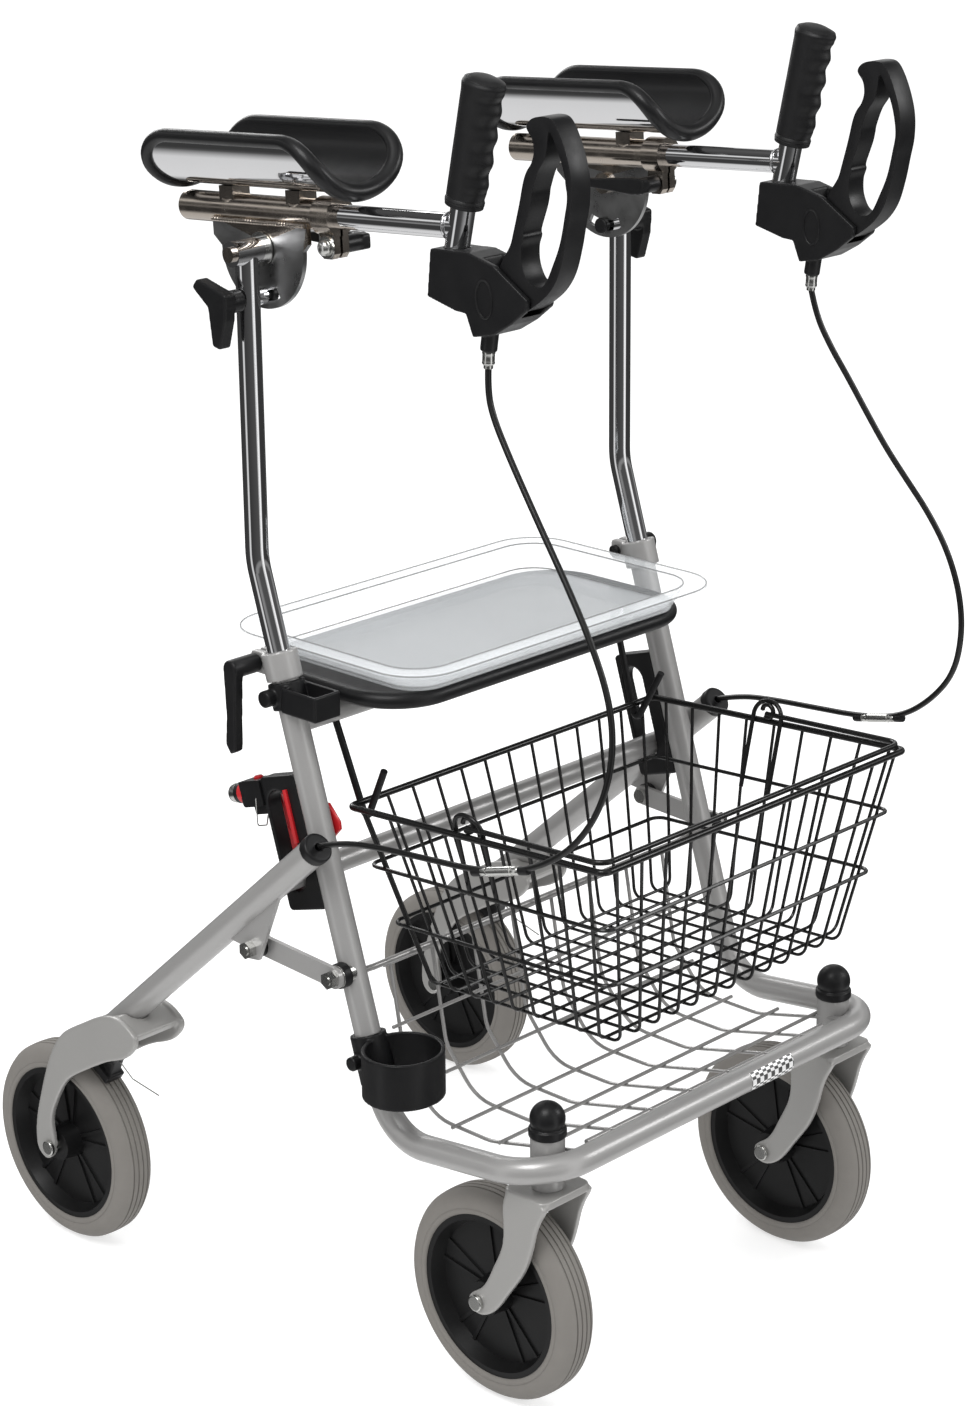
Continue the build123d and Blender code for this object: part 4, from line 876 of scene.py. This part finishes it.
def tyre(name, centre, body, replaced):
    half, bore, r = TYRE_HALF, TYRE_BORE, TYRE_R
    profile = [(bore, -half + .0015), (bore + .001, -half + .0004), (r - .018, -half),
               (r - .0165, -half + .0001), (r - .0160, -half + .0007),
                (r - .0150, -half + .0003), (r - .0110, -half + .0006), (r - .0075, -half + .0016),
                (r - .0045, -half + .0036), (r - .0022, -half + .0064), (r - .0012, -half + .0082)]
    for w in (-.0078, -.0026, .0026, .0078):
        profile += [(crown(w - .0008), w - .0008), (crown(w) - .0011, w - .0005),
                    (crown(w) - .0011, w + .0005),
                    (crown(w + .0008), w + .0008)]
    profile += [(a, -b) for a, b in profile[:11][::-1]]
    bm = bmesh.new()
    rings = lathe(bm, profile, centre, (1, 0, 0), sides=120)
    for i in range(120):
        j = (i + 1) % 120
        bm.faces.new((rings[-1][i], rings[-1][j], rings[0][j], rings[0][i]))
    return add_piece(name, bm, tyre_grey, body, "tyre", [replaced], angle=50)


for side, k in SIDES:
    for axle, x, y in (("rear", .2446, .246), ("front", .182, -.227)):
        tyre(f"{axle}_tread{side}", (k * x, y, TYRE_R), f"{axle}_wheel{side}", f"{axle}_tyre{side}")
        dress(f"{axle}_rim{side}", rim_black, 35)
    dress("caster_axle" + side, zinc)
print("wheels done")

# %% [markdown]
# ## Frame tubes and fixed fittings
# Bent and welded steel tube is already right in CAD, so these pieces only get their paint.
# A strip of reflective tape wraps the front tube.

# %% Painted frame
for name in ("front_frame", "caster_sleeves", "seat_crossbar", "rear_frame", "stay_links"):
    dress(name, silver)
for name in ("rear_axles", "leg_pivot_bolts", "bracket_pivot_bolts"):
    dress(name, zinc)
dress("basket_hangers", black)
dress("seat_plate", black)
dress("fold_lock", black)
dress("tray", clear)

strip = bmesh.new()
turns = 14
for i in range(turns + 1):
    a = radians(-100 + 150 * i / turns)
    for x in (.028, .082):
        strip.verts.new((x, -.305 - .0112 * cos(a), .232 + .0112 * sin(a)))
strip.verts.ensure_lookup_table()
for i in range(turns):
    strip.faces.new([strip.verts[n] for n in (2 * i, 2 * i + 1, 2 * i + 3, 2 * i + 2)])
add_piece("front_tape", strip, tape, "front_frame", "silver_paint")
print("frame done")

# %% [markdown]
# ## Luggage rack
# A hammock of thin wires between a rod across the legs and the front crossbar. Each long wire
# follows one bent line, and the cross wires lie on top at shares of that line's length.

# %% Rack wires
def hammock(x):
    line = [(x, -.0905, .342), (x, -.1065, .254), (x, -.1405, .2145), (x, -.2045, .2145), (x, -.2965, .238)]
    return rounded(line, [.025, .040, .050])


rack = bmesh.new()
for i in range(8):
    x = -.170 + .340 * i / 7
    tube(rack, hammock(x), .0016, sides=8, ends="round")
reference = hammock(0)
lengths = [0.0]
for a, b in zip(reference, reference[1:]):
    lengths.append(lengths[-1] + (b - a).length)
for share in (0.02, 0.20, 0.38, 0.56, 0.74, 0.90):
    want = share * lengths[-1]
    i = max(n for n, d in enumerate(lengths[:-1]) if d <= want)
    t = (want - lengths[i]) / (lengths[i + 1] - lengths[i])
    place = reference[i].lerp(reference[i + 1], t)
    tube(rack, [(-.178, place.y, place.z + .0026), (.178, place.y, place.z + .0026)], .0016, sides=8,
         ends="round")
tube(rack, rounded([(-.208, -.0905, .342), (-.19, -.0925, .342), (.19, -.0925, .342), (.208, -.0905, .342)],
                   [.01, .01]),
     .0028, sides=12)
tube(rack, [(-.150, -.2915, .236), (.150, -.2915, .236)], .0024, sides=10, ends="round")
add_piece("rack_wires", rack, wire_grey, "front_frame", "rack_wire", ["luggage_rack"])

# %% [markdown]
# ## Wire basket
# Welded black wires: a round rim, two rings, wires that run down one wall, across the floor
# and up the other, and a pair of loops on each side that carry the folding bail. A wireframe
# modifier on a box would put its wires in one plane; separate tubes cross over each other as
# welded wires do.

# %% Basket wires
RIM = dict(w=.1870, y0=-.3430, z0=.4910, y1=-.0645, z1=.4740)
FLOOR = dict(w=.1490, y0=-.3160, z0=.3270, y1=-.1080, z1=.3160)


def level(t):
    """Half width, front and back of the basket's wall at a share of its height."""
    return {key: FLOOR[key] + (RIM[key] - FLOOR[key]) * t for key in RIM}


def ring_at(t, out=0.0, corner=.010):
    s = level(t)
    w = s["w"] + out
    front, back = (s["y0"] - out, s["z0"]), (s["y1"] + out, s["z1"])
    middle = (0.0, *back)
    corners = [(w, *back), (w, *front), (-w, *front), (-w, *back)]
    path = rounded([middle, *corners, middle], [corner] * 4)
    return path[:-1]


basket = bmesh.new()
tube(basket, ring_at(1.0, corner=.007), .0028, sides=14, closed=True)
for t in (.68, .36):
    tube(basket, ring_at(t, out=.0024), .0017, sides=8, closed=True)
across, deep = 13, 9
top, low = level(1.0), level(0.0)
for i in range(across):
    u = -1 + 2 * (i + 0.5) / across
    path = rounded([(u * top["w"], top["y0"], top["z0"]), (u * low["w"], low["y0"], low["z0"]),
                    (u * low["w"], low["y1"], low["z1"]), (u * top["w"], top["y1"], top["z1"])],
                    [.010, .010])
    tube(basket, path, .0014, sides=8)
for j in range(deep):
    v = (j + 0.5) / deep
    ty, tz = top["y0"] + (top["y1"] - top["y0"]) * v, top["z0"] + (top["z1"] - top["z0"]) * v
    ly, lz = low["y0"] + (low["y1"] - low["y0"]) * v, low["z0"] + (low["z1"] - low["z0"]) * v + .0028
    path = rounded([(-top["w"], ty, tz), (-low["w"], ly, lz), (low["w"], ly, lz), (top["w"], ty, tz)],
                   [.010, .010])
    tube(basket, path, .0014, sides=8)
x_top, x_low = RIM["w"] - .0005, level(.58)["w"] - .003
for k in (1, -1):
    points = [(k * x_low, -.213, .424), (k * (x_top - .002), -.213, .489),
              (k * (x_top + .001), -.2125, .5005),
              (k * (x_top + .001), -.1835, .5005), (k * (x_top - .002), -.183, .489),
              (k * x_low, -.183, .424)]
    tube(basket, rounded(points, [.008, .0142, .0142, .008]), .0020, sides=10, ends="round")
add_piece("basket_wires", basket, wire_black, "basket", "basket_wire", ["basket"])

bail = bmesh.new()
slope = (RIM["z1"] - RIM["z0"]) / (RIM["y1"] - RIM["y0"])


def rim_height(y):
    return RIM["z0"] + (y - RIM["y0"]) * slope


points = [(.1848, -.196, rim_height(-.196) + .0072), (.1848, -.340, rim_height(-.340) + .0062),
          (-.1848, -.340, rim_height(-.340) + .0062), (-.1848, -.196, rim_height(-.196) + .0072)]
tube(bail, rounded(points, [.012, .012]), .0023, sides=12)
for k in (1, -1):
    eye = [(k * .1848 + .0001 * sin(a), -.198 + .0058 * cos(a), rim_height(-.198) + .0100 + .0058 * sin(a))
           for a in [2 * pi * i / 24 for i in range(21)]]
    tube(bail, eye, .0021, sides=10, ends="round")
add_piece("carry_bail", bail, wire_black, "basket_bail", "basket_wire", ["basket_bail"])
print("basket done")

# %% [markdown]
# ## Small fittings
# Black spacers at the stays, the push button and red parts of the fold lock, the brakes' return
# springs, and grey lines of painted light along the clear tray's folds, where light bends and
# reflects. They are small, but each one shows as a spot of colour or shine that the eye looks for.

# %% Small fittings
for name, body, x0, x1, y, z, r in (("stay_spacers", "front_frame", .2270, .2351, -.0966, .3485, .0106),
                                    ("bracket_spacers", "rear_frame", .2399, .2465, -.0100, .3530, .0096)):
    spacer = bmesh.new()
    lathe(spacer, [(0, x0), (r, x0), (r, x1 - .0008), (r - .0008, x1), (0, x1)], (0, y, z), (1, 0, 0),
          sides=32)
    add_pair(name, spacer, black, body, "black_plastic")
LEG_LEAN = radians(16.9)
LEG_UP = Vector((0, sin(LEG_LEAN), cos(LEG_LEAN)))
LEG_BACK = Vector((0, LEG_UP.z, -LEG_UP.y))


def behind_leg(z, back, x=-.217):
    """A place square behind the right leg's centre line at height z."""
    return Vector((x, -.104 + (z - .324) * tan(LEG_LEAN), z)) + LEG_BACK * back


centre = behind_leg(.4956, .0886)
lock = bmesh.new()
lathe(lock, [(0, -.0015), (.0080, -.0015), (.0081, .0058), (.0070, .0084), (.0035, .0090), (0, .0090)],
      centre, LEG_BACK, sides=32)
add_piece("lock_button", lock, zinc, "front_frame", "zinc")
collar = bmesh.new()
lathe(collar, [(0, -.0105), (.0094, -.0105), (.0096, -.0085), (.0094, -.0050), (0, -.0048)], centre,
      LEG_BACK, sides=32)
moulding(collar, [behind_leg(z, b) for z, b in ((.497, .0246), (.497, .0206), (.454, .0206),
                                                (.454, .0246))],
         -.2268, -.2240, edge=.0006)
lathe(collar, [(0, -.001), (.0040, -.001), (.0042, .0012), (.0030, .0026), (0, .0030)],
      behind_leg(.5061, .0620), LEG_UP, sides=24)
add_piece("lock_collar", collar, red, "front_frame", "red_plastic")
pad = bmesh.new()
moulding(pad, [(0, -.0400, .4700), (0, -.0500, .4790), (0, -.0590, .4805), (0, -.0715, .4675),
               (0, -.0725, .4610),
               (0, -.0625, .4500), (0, -.0480, .4520), (0, -.0330, .4430), (0, -.0290, .4520)], -.2056,
               -.2020, edge=.001)
add_piece("latch_pad", pad, red, "fold_latch", "red_plastic")
spring = bmesh.new()
tube(spring, rounded([behind_leg(.492, .060, -.2262), behind_leg(.470, .066, -.2262),
                      behind_leg(.470, .054, -.2262),
                      behind_leg(.478, .0495, -.2262)], [.002, .002]), .0006, sides=6)
add_piece("latch_spring", spring, zinc, "front_frame", "zinc")
returns = bmesh.new()
tube(returns, rounded([(.2446, .178, .190), (.2446, .160, .1775), (.2420, .128, .1710)], [.004]), .0006,
     sides=6)
add_pair("return_springs", returns, zinc, "rear_frame", "zinc")

# %% Tray edges: painted light along the clear folds
edges = bmesh.new()
Y_MID, HALF_Y = -.0305, .1165
for inset, z, corner in ((.0006, .5976, .042), (.0170, .5978, .034), (.0268, .5784, .029)):
    w, d = .189 - inset, HALF_Y - inset
    loop = rounded([(0, Y_MID + d, z), (w, Y_MID + d, z), (w, Y_MID - d, z), (-w, Y_MID - d, z),
                    (-w, Y_MID + d, z),
                    (0, Y_MID + d, z)], [corner] * 4)
    tube(edges, loop[:-1], .0007, sides=6, closed=True)
# The grey, half-clear tubes along the tray's rim and floor folds are painted light. They stand in for light
# bent and reflected at the clear moulding's edges and are not a part of the tray.
painted_edge_light = material("tray_edge_painted_light", (0.22, 0.22, 0.22), 0.15, mottle_by=0.05, grain_by=0.02, specular=0.8)
painted_edge_light.node_tree.nodes["Principled BSDF"].inputs["Alpha"].default_value = 0.65
add_piece("tray_painted_edge_lines", edges, painted_edge_light, "tray", "clear_tray")
print("small fittings and tray edges done")

# %% [markdown]
# ## Floor, light and finish
# A white floor under soft lights. Polished metal sees a dark room with a few tall bright panels,
# which gives plated tubes their dark and bright streaks. The room is a world shader with one ramp
# round the compass and one from floor to ceiling, and only glossy rays see it: the rest see white.
# In a world, Geometry's Normal is the line of sight reversed, so it gives the direction.

# %% Floor
floor = bmesh.new()
bmesh.ops.create_grid(floor, x_segments=2, y_segments=2, size=24.0)
mesh = bpy.data.meshes.new("floor")
floor.to_mesh(mesh)
floor.free()
ground = bpy.data.objects.new("floor", mesh)
ground.location = (0, 0, -0.0005)
scene.collection.objects.link(ground)
paper = material("floor_white", (0.5, 0.5, 0.5), 0.9, mottle_by=0.01, grain_by=0.0, smudge_by=0.0,
                 specular=0.0)
paper.node_tree.nodes["Principled BSDF"].inputs["Emission Color"].default_value = (1, 1, 1, 1)
paper.node_tree.nodes["Principled BSDF"].inputs["Emission Strength"].default_value = 0.62
ground.data.materials.append(paper)
ground.visible_glossy = False


# %% Lights
def soft_light(name, place, target, size, power):
    data = bpy.data.lights.new(name, "AREA")
    data.energy = power
    data.size = size
    lamp = bpy.data.objects.new(name, data)
    lamp.location = place
    lamp.rotation_euler = (Vector(target) - Vector(place)).to_track_quat("-Z", "Y").to_euler()
    scene.collection.objects.link(lamp)


soft_light("key", (-1.6, -0.6, 2.6), (0, 0, 0.6), 1.2, 40)
soft_light("fill", (1.8, -2.0, 1.9), (0, 0, 0.5), 0.9, 18)
soft_light("rim", (0.8, 2.2, 1.8), (0, 0, 0.6), 1.2, 22)

# %% Room seen in reflections
world = bpy.data.worlds.new("studio")
world.use_nodes = True
scene.world = world
tree = world.node_tree
backdrop = tree.nodes["Background"]


def banded(source, stops):
    """A grey that steps and fades along a value from 0 to 1."""
    ramp = tree.nodes.new("ShaderNodeValToRGB")
    points = ramp.color_ramp.elements
    for point, (where, shade) in zip(points, (stops[0], stops[-1])):
        point.position, point.color = where, (shade, shade, shade, 1)
    for where, shade in stops[1:-1]:
        points.new(where).color = (shade, shade, shade, 1)
    link(tree, source, ramp.inputs["Fac"])
    return ramp.outputs["Color"]


look = tree.nodes.new("ShaderNodeNewGeometry")
split = tree.nodes.new("ShaderNodeSeparateXYZ")
link(tree, look.outputs["Normal"], split.inputs[0])
compass = tree.nodes.new("ShaderNodeMath")
compass.operation = "ARCTAN2"
link(tree, split.outputs["Y"], compass.inputs[0])
link(tree, split.outputs["X"], compass.inputs[1])
turn = tree.nodes.new("ShaderNodeMath")
turn.operation = "MULTIPLY_ADD"
turn.inputs[1].default_value = 0.5 / pi
turn.inputs[2].default_value = 0.5
link(tree, compass.outputs[0], turn.inputs[0])
tilt = tree.nodes.new("ShaderNodeMath")
tilt.operation = "MULTIPLY_ADD"
tilt.inputs[1].default_value = -0.5
tilt.inputs[2].default_value = 0.5
link(tree, split.outputs["Z"], tilt.inputs[0])
around = banded(turn.outputs[0], [(0.0, 0.05), (0.07, 0.05), (0.09, 1.0), (0.12, 1.0), (0.14, 0.04),
                                  (0.42, 0.06),
                                  (0.44, 0.9), (0.47, 0.9), (0.49, 0.05), (0.72, 0.10), (0.76, 1.3),
                                  (0.79, 1.3),
                                  (0.81, 0.05), (1.0, 0.05)])
above = banded(tilt.outputs[0], [(0.0, 0.95), (0.20, 0.85), (0.27, 0.10), (0.30, 0.04), (0.46, 0.05),
                                 (0.49, 0.30),
                                 (0.52, 0.30), (0.55, 0.10), (0.63, 0.10), (0.66, 0.95), (0.70, 0.95),
                                 (0.74, 0.05),
                                 (0.86, 0.10), (1.0, 0.6)])
room = tree.nodes.new("ShaderNodeMix")
room.data_type = "RGBA"
room.blend_type = "LIGHTEN"
room.inputs[0].default_value = 1.0
link(tree, around, room.inputs[6])
link(tree, above, room.inputs[7])
rays = tree.nodes.new("ShaderNodeLightPath")
pick = tree.nodes.new("ShaderNodeMix")
pick.data_type = "RGBA"
pick.inputs[6].default_value = (1.0, 1.0, 1.0, 1)
link(tree, rays.outputs["Is Glossy Ray"], pick.inputs[0])
link(tree, room.outputs[2], pick.inputs[7])
link(tree, pick.outputs[2], backdrop.inputs["Color"])
backdrop.inputs["Strength"].default_value = 1.0
scene.view_settings.view_transform = "Standard"
